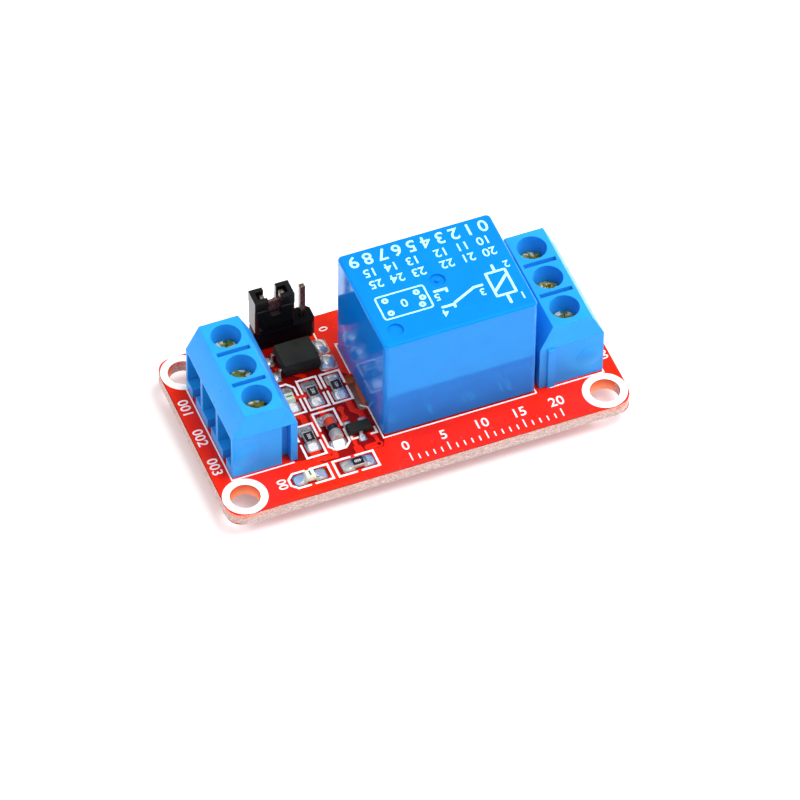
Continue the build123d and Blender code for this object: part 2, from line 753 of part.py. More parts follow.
# Transistor
transistor_x = columns[0]
transistor_plane = Plane((transistor_x, transistor_y, board_top))
with BuildPart() as transistor_body:
    add(moulded_body(transistor_plane, transistor_length, transistor_width,
                     transistor_lift, transistor_height, transistor_draft))
save(transistor_body.part, "transistor_body")
transistor_feet = [(0, -1), (-transistor_pitch, 1), (transistor_pitch, 1)]
transistor_lead = gull_lead(transistor_width / 2, transistor_span / 2, transistor_foot,
                            transistor_lift, transistor_height, transistor_lead_width)
with BuildPart() as transistor_leads:
    with Locations(transistor_plane):
        for offset, side in transistor_feet:
            with Locations(Location((offset, 0, 0), (0, 0, 90 * side))):
                add(transistor_lead)
save(transistor_leads.part, "transistor_leads")


def chip_resistor():
    """A chip resistor along X: a ceramic slab between two slightly larger end caps."""
    with BuildPart() as chip:
        with BuildSketch():
            Rectangle(chip_length - 2 * chip_cap, chip_width)
        extrude(amount=chip_height)
        with BuildSketch():
            with GridLocations(chip_length - chip_cap, 0, 2, 1):
                Rectangle(chip_cap, chip_width + 2 * chip_cap_step)
        extrude(amount=chip_height + chip_cap_step)
    return chip.part


def chip_led():
    """A chip LED along X: a flat carrier with its moulded lens."""
    with BuildPart() as led:
        with BuildSketch():
            Rectangle(chip_length, chip_width)
        extrude(amount=led_base)
        with BuildSketch(Plane.XY.offset(led_base)):
            Rectangle(led_lens_length, chip_width)
        extrude(amount=led_lens_height, taper=led_lens_draft)
    return led.part


def glass_diode():
    """A round glass diode along X with a metal cap on each end."""
    axis_height = diode_radius + diode_cap_step
    with BuildPart() as tube:
        with BuildSketch(Plane.YZ):
            with Locations((0, axis_height)):
                Circle(diode_radius)
        extrude(amount=diode_length / 2, both=True)
        with BuildSketch(Plane.YZ.offset(-diode_length / 2), Plane.YZ.offset(diode_length / 2 - diode_cap)):
            with Locations((0, axis_height)):
                Circle(axis_height)
        extrude(amount=diode_cap)
    return tube.part


# The chips: each one's form, centre and turn on the board
chips = {
    "resistor_1": (chip_resistor(), columns[0], upper_y, 90),
    "resistor_2": (chip_resistor(), columns[1], upper_y, 90),
    "relay_led": (chip_led(), columns[2], upper_y, 90),
    "resistor_3": (chip_resistor(), columns[2], lower_y, 90),
    "diode": (glass_diode(), columns[1], lower_y, 90),
    "resistor_4": (chip_resistor(), columns[1] + chip_length / 2, front_y, 0),
    "power_led": (chip_led(), columns[2] - chip_length, front_y, 0),
}
for name, (form, x, y, turn) in chips.items():
    with BuildPart() as chip:
        with Locations(Location((x, y, board_top), (0, 0, turn))):
            add(form)
    save(chip.part, name)


def pin_solder(size_x, size_y):
    """Solder round a pin under the board, wide on the pad and narrow towards the pin's tip."""
    with BuildPart() as cone:
        with BuildSketch():
            RegularPolygon(pin_reach(size_x, size_y) + solder_spread, solder_sides)
        with BuildSketch(Plane.XY.offset(-solder_height)):
            RegularPolygon(pin_reach(size_x, size_y) + solder_neck, solder_sides)
        loft(ruled=True)
        with BuildSketch():
            Rectangle(size_x, size_y)
        extrude(amount=-solder_height, mode=Mode.SUBTRACT)
    return cone.part


def solder_wedge(width, height, reach):
    """Solder against a vertical end at X = 0, running out towards +X on the board."""
    with BuildPart() as wedge:
        with BuildSketch(Plane.XZ):
            with BuildLine():
                Polyline((0, 0), (reach, 0), (0, height), close=True)
            make_face()
        extrude(amount=width / 2, both=True)
    return wedge.part


with BuildPart() as terminal_solder:
    with Locations(*terminal_drills):
        add(pin_solder(clamp_pin_width, clamp_pin_width))
save(terminal_solder.part, "terminal_solder")

with BuildPart() as relay_solder:
    for x, y, size_x, size_y in relay_pins.values():
        with Locations((relay_x + x, relay_shift_y + y)):
            add(pin_solder(size_x, size_y))
save(relay_solder.part, "relay_solder")

with BuildPart() as header_solder:
    with Locations(*[(x, header_y) for x in header_pin_xs]):
        add(pin_solder(header_pin_size, header_pin_size))
save(header_solder.part, "header_solder")

# Solder on top of the board: a wedge at each end of each chip and beyond each lead's foot
with BuildPart() as smd_solder:
    for name, (form, x, y, turn) in chips.items():
        if name == "diode":
            half, height = diode_length / 2, diode_radius
        elif name.endswith("led"):
            half, height = chip_length / 2, led_base
        else:
            half, height = chip_length / 2, chip_height
        for end in (0, 180):
            with Locations(Location((x, y, board_top), (0, 0, turn + end))):
                with Locations((half, 0, 0)):
                    add(solder_wedge(chip_width, height * chip_solder_share, chip_solder_reach))
    for side, row in coupler_feet:
        with Locations(Location((coupler_x, coupler_y + row, board_top), (0, 0, 90 - 90 * side))):
            with Locations((coupler_lead_span / 2, 0, 0)):
                add(solder_wedge(2 * coupler_lead_width, lead_metal, lead_solder_reach))
    for offset, side in transistor_feet:
        with Locations(Location((transistor_x + offset, transistor_y, board_top), (0, 0, 90 * side))):
            with Locations((transistor_span / 2, 0, 0)):
                add(solder_wedge(2 * transistor_lead_width, lead_metal, lead_solder_reach / 2))
save(smd_solder.part, "smd_solder")
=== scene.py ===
# %% [markdown]
# A relay module: a red circuit board, a blue relay, two blue screw terminal blocks, a row of three pins with
# a jumper cap, and a handful of chips. The solid model comes first. It was packed as a fixed frame, in
# metres, with +X along the board's longer edge and +Z out of the board, so a piece here goes where the frame
# says it is.

# %% Load the frame
import json
import math
import bpy
import bmesh
import numpy as np
from mathutils import Matrix, Vector


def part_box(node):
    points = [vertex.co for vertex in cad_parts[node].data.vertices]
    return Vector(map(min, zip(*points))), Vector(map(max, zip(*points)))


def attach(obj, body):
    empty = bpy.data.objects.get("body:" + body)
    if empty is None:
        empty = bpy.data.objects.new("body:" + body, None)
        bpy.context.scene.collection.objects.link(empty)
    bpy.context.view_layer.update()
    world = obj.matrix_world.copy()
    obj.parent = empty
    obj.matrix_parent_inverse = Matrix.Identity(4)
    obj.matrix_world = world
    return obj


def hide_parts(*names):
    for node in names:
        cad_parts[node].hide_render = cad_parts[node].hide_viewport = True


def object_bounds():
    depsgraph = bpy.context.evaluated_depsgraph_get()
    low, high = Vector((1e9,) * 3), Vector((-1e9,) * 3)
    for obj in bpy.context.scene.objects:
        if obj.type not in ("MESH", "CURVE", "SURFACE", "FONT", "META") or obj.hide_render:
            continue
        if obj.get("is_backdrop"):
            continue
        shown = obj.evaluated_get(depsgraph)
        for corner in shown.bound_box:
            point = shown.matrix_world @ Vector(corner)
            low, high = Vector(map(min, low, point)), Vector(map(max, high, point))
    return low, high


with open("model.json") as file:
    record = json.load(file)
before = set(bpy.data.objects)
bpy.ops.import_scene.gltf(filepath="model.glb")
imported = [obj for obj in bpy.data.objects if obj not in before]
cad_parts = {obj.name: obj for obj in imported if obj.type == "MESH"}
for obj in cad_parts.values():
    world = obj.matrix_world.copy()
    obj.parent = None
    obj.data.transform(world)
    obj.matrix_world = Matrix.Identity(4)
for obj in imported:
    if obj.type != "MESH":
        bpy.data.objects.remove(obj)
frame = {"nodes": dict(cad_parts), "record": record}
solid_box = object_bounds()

mm = 0.001
scene = bpy.context.scene
body_of = {node: body for body, nodes in frame["record"]["behaviour"]["bodies"].items() for node in nodes}

# %% [markdown]
# A photograph of a small object from far away is nearly parallel. The camera's place and turn were worked out
# by matching the board's corners, its holes and the tops of the blocks. They are written as one place, three
# directions and a lens.

# %% Camera
camera = bpy.data.objects.new("camera", bpy.data.cameras.new("camera"))
scene.collection.objects.link(camera)
camera_right = Vector((0.92938569, -0.36900126, 0.00896161))
camera_up = Vector((0.2719527, 0.70096621, 0.6593088))
camera_back = camera_right.cross(camera_up)
place = Matrix((camera_right, camera_up, camera_back)).transposed().to_4x4()
place.translation = Vector((-0.20989287, -0.51528519, 0.63276999))
camera.matrix_world = place
camera.data.sensor_width = 36
camera.data.lens = 7174.09 / 800 * 36
camera.data.clip_start = 0.01
camera.data.clip_end = 20
scene.camera = camera
print("camera stands", round(camera.location.length, 3), "m away, lens", round(camera.data.lens), "mm")

# %% [markdown]
# The object is measured in the frame rather than typed again: the board's top, the blocks' corners and the
# row of pins all come from the boxes of the solid pieces.

# %% Where things stand
board_low, board_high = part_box("board")
top = board_high.z
print("board", [round(v / mm, 2) for v in board_high - board_low], "mm, top at", round(top / mm, 2))


def corners(node):
    """A node's lowest and highest corner in millimetres."""
    return [np.array(v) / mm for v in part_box(node)]


def middle(node):
    """Halfway between a node's lowest and highest corner."""
    return sum(corners(node)) / 2


def islands(node):
    """The lowest and highest corner, in millimetres, of each loose piece of a solid node, in order of place."""
    work = bmesh.new()
    work.from_mesh(frame["nodes"][node].data)
    bmesh.ops.remove_doubles(work, verts=work.verts, dist=1e-6)
    left, boxes = set(work.verts), []
    while left:
        todo, found = [left.pop()], []
        while todo:
            vertex = todo.pop()
            found.append(vertex.co[:])
            near = {edge.other_vert(vertex) for edge in vertex.link_edges} & left
            left -= near
            todo += near
        boxes.append((np.min(found, 0) / mm, np.max(found, 0) / mm))
    work.free()
    return sorted(boxes, key=lambda box: [round(float(v), 3) for v in box[0]])


# %% [markdown]
# A finish is a small recipe of nodes. The class Value stands for one socket, and adding or multiplying two of
# them puts the Math node in. Everything else comes from one method, which takes a node's type, its settings
# and what goes into its sockets.

# %% Sums on sockets
class Value:
    """A number that changes over a surface. Each operator adds one Math node to the same recipe."""

    def __init__(self, recipe, socket):
        self.recipe, self.socket = recipe, socket

    def maths(self, operation, *others):
        return self.recipe.node("ShaderNodeMath", {"operation": operation}, dict(enumerate((self,) + others)))

    def __add__(self, other): return self.maths("ADD", other)
    def __sub__(self, other): return self.maths("SUBTRACT", other)
    def __mul__(self, other): return self.maths("MULTIPLY", other)
    def __abs__(self): return self.maths("ABSOLUTE")
    def highest(self, other): return self.maths("MAXIMUM", other)

    def between(self, low, high, first=0.0, last=1.0):
        """first below low, last above high, and a soft step from one to the other."""
        sockets = {"Value": self, "From Min": low, "From Max": high, "To Min": first, "To Max": last}
        return self.recipe.node("ShaderNodeMapRange", {"interpolation_type": "SMOOTHSTEP"}, sockets)


class Recipe:
    """A tree of nodes. Each call of node() adds one and feeds its sockets."""

    def __init__(self, tree):
        self.tree = tree

    def put(self, socket, value):
        if isinstance(value, Value):
            self.tree.links.new(value.socket, socket)
        elif socket.type == "RGBA" and len(value) == 3:
            socket.default_value = (*value, 1)
        else:
            socket.default_value = value

    def node(self, kind, settings, sockets, out=None):
        """Adds a node of that kind. Settings come first, since they decide which sockets there are. A socket's
        key is its name or its number."""
        node = self.tree.nodes.new(kind)
        for key, value in settings.items():
            setattr(node, key, value)
        shown = [s for s in node.inputs if s.enabled]
        for key, value in sockets.items():
            self.put(shown[key] if isinstance(key, int) else next(s for s in shown if s.name == key), value)
        outs = [s for s in node.outputs if s.enabled]
        return Value(self, outs[0] if out is None else next(s for s in outs if s.name == out))


class Finish(Recipe):
    """One material: its nodes are added by node(), and shade() joins them to the shader."""

    def __init__(self, name):
        self.material = bpy.data.materials.new(name)
        self.material.use_nodes = True
        super().__init__(self.material.node_tree)
        self.shader = self.tree.nodes["Principled BSDF"]

    def where(self, stretch=(1, 1, 1)):
        """Places on the object in metres, stretched about the origin."""
        at = self.node("ShaderNodeTexCoord", {}, {}, "Object")
        return self.node("ShaderNodeMapping", {}, {"Vector": at, "Scale": stretch})

    def along(self, axis):
        """The distance in millimetres along one axis of the object."""
        split = self.node("ShaderNodeSeparateXYZ", {}, {"Vector": self.where()}, "XYZ"[axis])
        return split * (1 / mm)

    def grain(self, size, detail=2.0, rough=0.5, stretch=(1, 1, 1)):
        """Noise from 0 to 1 whose lumps are about that many millimetres across."""
        sockets = {"Vector": self.where(stretch), "Scale": 1 / (size * mm), "Detail": detail,
                   "Roughness": rough}
        return self.node("ShaderNodeTexNoise", {}, sockets)

    def mix(self, amount, first, second):
        """One colour changed to another by an amount from 0 to 1."""
        return self.node("ShaderNodeMix", {"data_type": "RGBA"}, {"Factor": amount, "A": first, "B": second})

    def relief(self, height, depth, strength=1.0, under=None):
        """A Bump node: height from 0 to 1 becomes that many millimetres of relief."""
        sockets = {"Height": height, "Distance": depth * mm, "Strength": strength}
        if under is not None:
            sockets["Normal"] = under
        return self.node("ShaderNodeBump", {}, sockets)

    def shade(self, **sockets):
        """Feeds the shader: base_color=..., roughness=..., and so on."""
        for key, value in sockets.items():
            name = {"ior": "IOR", "specular": "Specular IOR Level"}.get(key, key.replace("_", " ").title())
            self.put(self.shader.inputs[name], value)
        return self.material


def blended(name, colour, deep, tone, rough, bump=None, span=(0.3, 0.7), **fixed):
    """A finish of two colours in soft patches. The tone is the patches' size and detail. Rough is one number,
    or a size, a detail, the least and the most. A bump is a size, a detail, a depth in millimetres and a
    strength."""
    finish = Finish(name)
    colours = finish.mix(finish.grain(*tone).between(*span), colour, deep)
    if isinstance(rough, tuple):
        rough = finish.grain(*rough[:2]).between(0.3, 0.7, *rough[2:])
    if bump:
        fixed["normal"] = finish.relief(finish.grain(*bump[:2]), *bump[2:])
    return finish.shade(base_color=colours, roughness=rough, **fixed)


def metal(*recipe):
    """A blended finish that is all metal."""
    return blended(*recipe, metallic=1.0)


# %% [markdown]
# A surface on a grid is the plainest way to make a shape from a formula: two numbers run over the grid, the
# formula turns them into points, and neighbouring points are joined by four-sided faces. A helper numbers
# those faces, and another puts points and faces into a mesh and hands the piece to the frame.

# %% Grids and pieces
made = {}
flat_angle, edge_angle, smooth_angle = 1.0, 35, 46  # degrees: joined as flat, rounded as an edge, shaded smooth


def cells(rows, columns, round_rows=False, round_columns=False):
    """The four corner numbers of each cell of a grid, with the last row or column joined to the first if
    asked."""
    i, j = np.indices((rows - (not round_rows), columns - (not round_columns)))
    k, l = (i + 1) % rows, (j + 1) % columns
    return np.stack([i * columns + j, i * columns + l, k * columns + l, k * columns + j], -1).reshape(-1, 4)


def tidy(mesh, apart=1e-7, flat=None):
    """Merges points closer than that in metres, joins faces that are flat to within that many degrees or drops
    those without any area, and turns every face outwards."""
    work = bmesh.new()
    work.from_mesh(mesh)
    bmesh.ops.remove_doubles(work, verts=work.verts, dist=apart)
    if flat is None:
        bmesh.ops.dissolve_degenerate(work, edges=work.edges, dist=apart)
    else:
        bmesh.ops.dissolve_limit(work, angle_limit=math.radians(flat), verts=work.verts, edges=work.edges)
    bmesh.ops.recalc_face_normals(work, faces=work.faces)
    work.to_mesh(mesh)
    work.free()


def smooth(piece, degrees):
    """Smooth shading, except over edges sharper than that."""
    piece.data.shade_smooth()
    piece.data.set_sharp_from_angle(angle=math.radians(degrees))


def placed(name, mesh, material, degrees, stands_for=None, slot=None, body="board_assembly"):
    """Makes a mesh a piece that rides on a body, and may stand for a solid piece."""
    mesh.materials.clear()
    mesh.materials.append(material)
    piece = bpy.data.objects.new(name, mesh)
    scene.collection.objects.link(piece)
    smooth(piece, degrees)
    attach(piece, body)
    if stands_for:
        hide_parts(stands_for)
    made[name] = piece
    return piece


def put(name, parts, material, degrees=35, clean=True, **kept):
    """One new piece from several parts, each of which is points in metres and lists of point numbers."""
    points, faces, start = [], [], 0
    for p, f in parts:
        points.append(np.asarray(p, float))
        faces += [[int(v) + start for v in face] for face in f]
        start += len(p)
    mesh = bpy.data.meshes.new(name)
    mesh.from_pydata(np.concatenate(points).tolist(), [], faces)
    if clean:
        tidy(mesh)
    return placed(name, mesh, material, degrees, **kept)


def apply_modifiers(piece):
    """Replaces the mesh by what the modifiers make of it."""
    mesh = bpy.data.meshes.new_from_object(piece.evaluated_get(bpy.context.evaluated_depsgraph_get()))
    piece.modifiers.clear()
    piece.data = mesh


def dressed(node, width, material, slot, segments=2):
    """A copy of a solid piece with a finish, in the same place, standing for the node. Every sharp edge is
    rounded by that many millimetres. Weighted normals keep large faces flat, so only edges catch the light."""
    mesh = frame["nodes"][node].data.copy()
    piece = placed(node + "_dressed", mesh, material, smooth_angle, node, slot, body_of[node])
    tidy(piece.data, 2e-6, flat_angle)
    if width:
        bevel = piece.modifiers.new("edges", "BEVEL")
        bevel.width, bevel.segments, bevel.limit_method = width * mm, segments, "ANGLE"
        bevel.angle_limit = math.radians(edge_angle)
        apply_modifiers(piece)
    smooth(piece, smooth_angle)
    weights = piece.modifiers.new("weights", "WEIGHTED_NORMAL")
    weights.keep_sharp, weights.weight = True, 100
    apply_modifiers(piece)
    return piece


# %% [markdown]
# Small products are photographed in a tent of white cloth, with soft light from everywhere and a little more
# from above. Gloss shows what is around the object: here it is bright near the table, darkest forty degrees up
# and bright again overhead, so a level glossy face looks deep in colour and an upright one shows the white
# table. The world has a plain tone for soft light, a ramp over height for gloss, and white for the camera.

# %% Light
world = bpy.data.worlds.new("tent")
scene.world = world
world.use_nodes = True
sky = Recipe(world.node_tree)


def cloth(tone, strength):
    """One background of an even tone."""
    return sky.node("ShaderNodeBackground", {}, {"Color": tone, "Strength": strength})


def chosen(ray, otherwise, then):
    """One background for a kind of ray and another for the rest."""
    share = sky.node("ShaderNodeLightPath", {}, {}, ray)
    return sky.node("ShaderNodeMixShader", {}, {0: share, 1: otherwise, 2: then})


white = (1, 1, 1)
around = sky.node("ShaderNodeTexCoord", {}, {}, "Generated")
sky_ramp = sky.node("ShaderNodeValToRGB", {}, {0: sky.node("ShaderNodeSeparateXYZ", {}, {0: around}, "Z")})
stops = sky_ramp.socket.node.color_ramp.elements
stops[0].color, stops[1].color = (1, 1, 1.02, 1), (1, 1, 1, 1)
for stop, tone in ((0.48, 0.20), (0.66, 0.17)):
    stops.new(stop).color = (tone, tone, tone * 1.02, 1)
hazy = chosen("Is Glossy Ray", cloth(white, 0.54), cloth(sky_ramp, 1.0))
seen = chosen("Is Camera Ray", hazy, cloth(white, 1.0))
sky.tree.links.new(seen.socket, sky.tree.nodes["World Output"].inputs["Surface"])

# Square soft lights that look at the object: a name, a place and a width in metres, and a power in watts
for name, place, width, power in (("panel_above", (0.24, -0.06, 0.58), 0.45, 4.4),
                                  ("panel_front", (0.12, -0.36, 0.56), 0.40, 0.8),
                                  ("panel_right", (0.55, -0.06, 0.22), 0.40, 1.8),
                                  ("panel_left", (-0.50, 0.0, 0.40), 0.40, 1.5)):
    light = bpy.data.lights.new(name, "AREA")
    light.size, light.energy = width, power
    lamp = bpy.data.objects.new(name, light)
    scene.collection.objects.link(lamp)
    lamp.location = place
    lamp.rotation_euler = Vector(place).to_track_quat("Z", "Y").to_euler()
    lamp.visible_glossy = name == "panel_front"

# %% [markdown]
# The pins are cut off two millimetres below the board, so that is where the table is, of plain white paper. A
# quarter of what the camera sees of it is a glow of its own, which lifts the object's shadow as a bright tent
# does. The glow stops under the middle of the board, where no light of the tent comes.

# %% Floor
floor_z = Vector(solid_box[0]).z
paper = Finish("paper")
paper.shade(base_color=(0.93, 0.92, 0.925), roughness=0.9, specular=0.1)
ray = paper.node("ShaderNodeLightPath", {}, {}, "Is Camera Ray")
open_paper = abs(paper.along(0)).between(8, 14).highest(abs(paper.along(1)).between(8, 12))
glow = paper.node("ShaderNodeEmission", {}, {"Color": (1.0, 0.965, 0.97), "Strength": 1.0})
glow_share = 0.25
paper_mix = paper.node("ShaderNodeMixShader", {}, {0: ray * open_paper * glow_share, 2: glow,
                                                   1: Value(paper, paper.shader.outputs[0])})
paper.tree.links.new(paper_mix.socket, paper.tree.nodes["Material Output"].inputs["Surface"])
floor_mesh = bpy.data.meshes.new("floor")
floor_corners = [(x, y, floor_z - 0.02 * mm) for x, y in ((-2, -2), (2, -2), (2, 2), (-2, 2))]
floor_mesh.from_pydata(floor_corners, [], [range(4)])
floor_mesh.materials.append(paper.material)
floor = bpy.data.objects.new("floor", floor_mesh)
scene.collection.objects.link(floor)
floor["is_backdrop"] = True
print("floor at", round(floor_z / mm, 2), "mm")

# %% [markdown]
# The board is glass cloth in resin with copper on it, under a red lacquer called the mask. Over copper the
# red is bright and stands a hair higher; over bare laminate it is darker. The dark strength is partly that
# and partly painted shade, for it also covers the open ground between the parts, where their shade falls. So
# the mask is one recipe with a bright strength and a darker one that holds painted shade, and the copper
# areas are pieces of their own on the dark board.

# %% Finishes of the board
def mask(name, colour, deep, gloss):
    """Red lacquer: slightly uneven in tone, glossy, with a faint orange-peel surface."""
    lacquer = Finish(name)
    tone = lacquer.mix(lacquer.grain(2.4, 3).between(0.3, 0.7), colour, deep)
    peel = lacquer.relief(lacquer.grain(0.35, 2), 0.004, 0.25)
    rough = lacquer.grain(1.1, 2).between(0.2, 0.8, 0.20, 0.28)
    return lacquer.shade(base_color=tone, roughness=rough, normal=peel, specular=gloss)


mask_copper = mask("mask_over_copper", (0.77, 0.015, 0.001), (0.70, 0.012, 0.001), 0.3)
# dark strength: partly mask over bare laminate, partly painted shade between the parts
mask_bare_and_shade = mask("mask_over_laminate_and_shade", (0.26, 0.003, 0.001), (0.21, 0.002, 0.001), 0.15)

laminate = Finish("cut_laminate")
threads = laminate.grain(0.16, 4, 0.7, (0.35, 0.35, 1.0))
speck = laminate.grain(0.14, 3, 0.6, (0.6, 0.6, 1.0)).between(0.54, 0.62)
tan = laminate.mix(threads.between(0.40, 0.60), (0.60, 0.44, 0.42), (0.38, 0.28, 0.24))
# orange near the edge's top: partly the red mask at its rim, partly painted glow of light through it
seep_and_glow = (laminate.along(2) + threads * 0.9).between(1.15, 1.65)
# more orange towards the corners: painted glow of light through the board's corners
corner = abs(laminate.along(0)).between(18, 24.5) * abs(laminate.along(1)).between(8, 12.5) * 0.60 + 0.18
tinted = laminate.mix(seep_and_glow * corner, tan, (0.84, 0.15, 0.06))
laminate.shade(base_color=laminate.mix(speck * 0.55, tinted, (0.90, 0.80, 0.76)), roughness=0.75,
               normal=laminate.relief(threads + speck * 0.6, 0.05, 0.7))

hole_wall = Finish("hole_wall")
wall_tone = hole_wall.mix(hole_wall.along(2).between(0.1, 1.5), (0.92, 0.33, 0.15), (0.80, 0.11, 0.02))
wall_grain = hole_wall.relief(hole_wall.grain(0.15, 3), 0.03, 0.4)
hole_wall.shade(base_color=wall_tone, roughness=0.5, normal=wall_grain)

ink = blended("white_ink", (0.86, 0.68, 0.64), (0.93, 0.86, 0.84), (0.25, 3), 0.45, (0.09, 2, 0.004, 0.5),
              span=(0.25, 0.45))
tin = metal("tinned_copper", (0.62, 0.61, 0.60), (0.62, 0.61, 0.60), (0.5, 3), (0.5, 3, 0.22, 0.42),
            (0.3, 3, 0.01, 0.4))

# %% [markdown]
# The board itself is the solid piece with three finishes: its two faces, its milled edge with cut glass
# threads, and the walls of its holes. Which face gets which is told from the way the face points and where it
# is.

# %% Board
def sort_faces(piece, more, choose):
    """Adds more finishes to a piece's first. Each face gets the one whose number choose() returns for the
    face's centre and direction."""
    for finish in more:
        piece.data.materials.append(finish)
    count = len(piece.data.polygons)
    centres, normals = np.empty(count * 3), np.empty(count * 3)
    piece.data.polygons.foreach_get("center", centres)
    piece.data.polygons.foreach_get("normal", normals)
    numbers = choose(centres.reshape(-1, 3) / mm, normals.reshape(-1, 3))
    piece.data.polygons.foreach_set("material_index", numbers.astype(np.int32))
    piece.data.update()
    print(piece.name, "faces:", np.bincount(numbers))


half_x, half_y = board_high.x / mm, board_high.y / mm
rim_width = 1.2


def board_parts(centre, normal):
    """The two faces of the board, its rim, and the walls inside it."""
    upright = np.abs(normal[:, 2]) < 0.5
    rim = (np.abs(centre[:, :2]) > np.array([half_x, half_y]) - rim_width).any(1)
    return np.where(upright, np.where(rim, 1, 2), 0)


board = dressed("board", 0, mask_bare_and_shade, "board_laminate")
sort_faces(board, (laminate.material, hole_wall.material), board_parts)

# %% [markdown]
# Copper areas and printed marks are flat shapes with a little height. A flat filled curve is the quickest way
# to get one with holes in it: the outline and each hole are closed splines, and the fill goes between them.

# %% Flat shapes on the board
def arc(x, y, radius, start=0, stop=360, count=32):
    """Points on an arc: the angle runs evenly from start to stop degrees, and cosine and sine give x and y."""
    angle = np.radians(np.linspace(start, stop, count, endpoint=(stop - start) % 360 != 0))
    return np.stack([x + radius * np.cos(angle), y + radius * np.sin(angle)], -1)


def mesh_of(curve, placement):
    """The mesh that a curve makes, moved to its place."""
    shape = bpy.data.objects.new(curve.name, curve)
    scene.collection.objects.link(shape)
    mesh = bpy.data.meshes.new_from_object(shape.evaluated_get(bpy.context.evaluated_depsgraph_get()))
    bpy.data.objects.remove(shape)
    mesh.transform(placement)
    return mesh


def plate(name, outlines, low, high, material, bevel=0.012):
    """A flat shape between two heights in metres, from closed outlines in millimetres. Inner ones are holes."""
    curve = bpy.data.curves.new(name, "CURVE")
    curve.dimensions, curve.fill_mode = "2D", "BOTH"
    curve.extrude = (high - low) / 2 - bevel * mm
    curve.bevel_depth, curve.offset = bevel * mm, -bevel * mm
    for outline in outlines:
        spline = curve.splines.new("POLY")
        spline.points.add(len(outline) - 1)
        places = np.column_stack([np.asarray(outline) * mm, np.zeros(len(outline)), np.ones(len(outline))])
        spline.points.foreach_set("co", places.ravel())
        spline.use_cyclic_u = True
    mesh = mesh_of(curve, Matrix.Translation((0, 0, (low + high) / 2)))
    tidy(mesh)
    return placed(name, mesh, material, 30)


def band(path, width, low, high, closed=False, taper=None):
    """Points and faces of a flat band along a path in millimetres, with mitred corners and slightly rounded
    top. Each path point gets a sideways direction: the mean of its two runs' normals, divided by how much
    they agree, so the band keeps its width round a corner. Six points across the band make its section."""
    after = np.roll(path, -1, 0) - path
    if not closed:
        after[-1] = after[-2]
    before = np.roll(after, 1, 0)
    if not closed:
        before[0] = after[0]
    turn = lambda v: np.stack([-v[:, 1], v[:, 0]], -1) / np.linalg.norm(v, axis=1)[:, None]
    side = turn(after) + turn(before)
    side *= 2 / (side ** 2).sum(1)[:, None]
    half = np.full(len(path), width / 2) if taper is None else np.asarray(taper, float) / 2
    across = np.array([-1, -1, -0.86, 0.86, 1, 1])
    height = np.array([low, (low + 2 * high) / 3, high, high, (low + 2 * high) / 3, low])
    flat = path[:, None] + side[:, None] * half[:, None, None] * across[None, :, None]
    points = np.concatenate([flat * mm, np.broadcast_to(height[None, :, None], flat.shape[:2] + (1,))], -1)
    faces = cells(len(path), 6, closed, True).tolist()
    if not closed:
        faces += [list(range(6)), [(len(path) - 1) * 6 + k for k in range(6)][::-1]]
    return points.reshape(-1, 3), faces


def stroke(path, width, low, high, closed=False):
    """A band with half-round ends. At an angle a before the tip, the band reaches half a width times the cosine
    of a past the end of the path, and is a width times the sine of a wide."""
    path = np.asarray(path, float)
    if closed:
        return band(path, width, low, high, True)
    angle = np.radians((15, 35, 55, 75))
    reach, wide = width / 2 * np.cos(angle), width * np.sin(angle)
    first, last = path[0] - path[1], path[-1] - path[-2]
    head = path[0] + first / np.linalg.norm(first) * reach[:, None]
    tail = path[-1] + last / np.linalg.norm(last) * reach[::-1, None]
    widths = np.concatenate([wide, np.full(len(path), width), wide[::-1]])
    return band(np.concatenate([head, path, tail]), width, low, high, taper=widths)


copper_skin = 0.035 * mm
copper_top = top + copper_skin
track_top = copper_top - 0.004 * mm  # tracks lie a hair lower than the large area that they run into

# %% [markdown]
# The copper is one large area round the board's edge, left open where the small parts stand. The open part
# is dark, partly as bare laminate and partly as painted shade between the parts. Short tracks and rings cross
# the dark part. Positions are in millimetres from the board's front left corner.

# %% Copper under the mask
def ruled(points):
    """Places measured on a ruler laid 25 mm left and 13 mm in front of the middle, moved to the middle."""
    return np.asarray(points, float) - (25, 13)


def rounded(x0, y0, x1, y1, radius, count=8):
    """A rectangle with round corners: a quarter arc round each inner corner point."""
    corners = ((x1 - radius, y0 + radius, -90), (x1 - radius, y1 - radius, 0), (x0 + radius, y1 - radius, 90),
               (x0 + radius, y0 + radius, 180))
    return np.concatenate([arc(x, y, radius, a, a + 89.9, count) for x, y, a in corners])


hole_inset, bare_round_hole = 2.75, 2.0
hole_places = [(sx * (half_x - hole_inset), sy * (half_y - hole_inset)) for sx in (-1, 1) for sy in (-1, 1)]
copper_edge = rounded(0.1 - half_x, 0.1 - half_y, half_x - 0.1, half_y - 0.1, 1.9)
# the dark open ground, stretched in front of the header and between the parts as painted shade
open_ground_and_shade = ruled([(9.6, 5.6), (11.6, 5.3), (12.8, 4.25), (16.85, 4.25), (16.85, 5.3), (17.75, 5.3),
                     (17.95, 4.15), (20.25, 4.15), (20.55, 4.8), (20.9, 5.5), (20.9, 8.6), (20.9, 15.6),
                     (19.2, 17.2), (18.4, 17.5), (18.2, 22.3), (17.4, 24.9), (10.4, 24.9), (9.9, 22.5),
                     (9.6, 21.0)])
slot_area = ruled([(21.2, 9.0), (21.2, 17.2), (27.4, 17.2), (27.4, 9.0)])
ground = [copper_edge, open_ground_and_shade, slot_area] + [arc(x, y, bare_round_hole) for x, y in hole_places]
ground += [ruled(rounded(14.0, 1.85, 18.5, 3.75, 0.2)), ruled(rounded(8.25, 1.85, 12.85, 3.75, 0.6))]
plate("copper_ground", ground, top, copper_top, mask_copper)

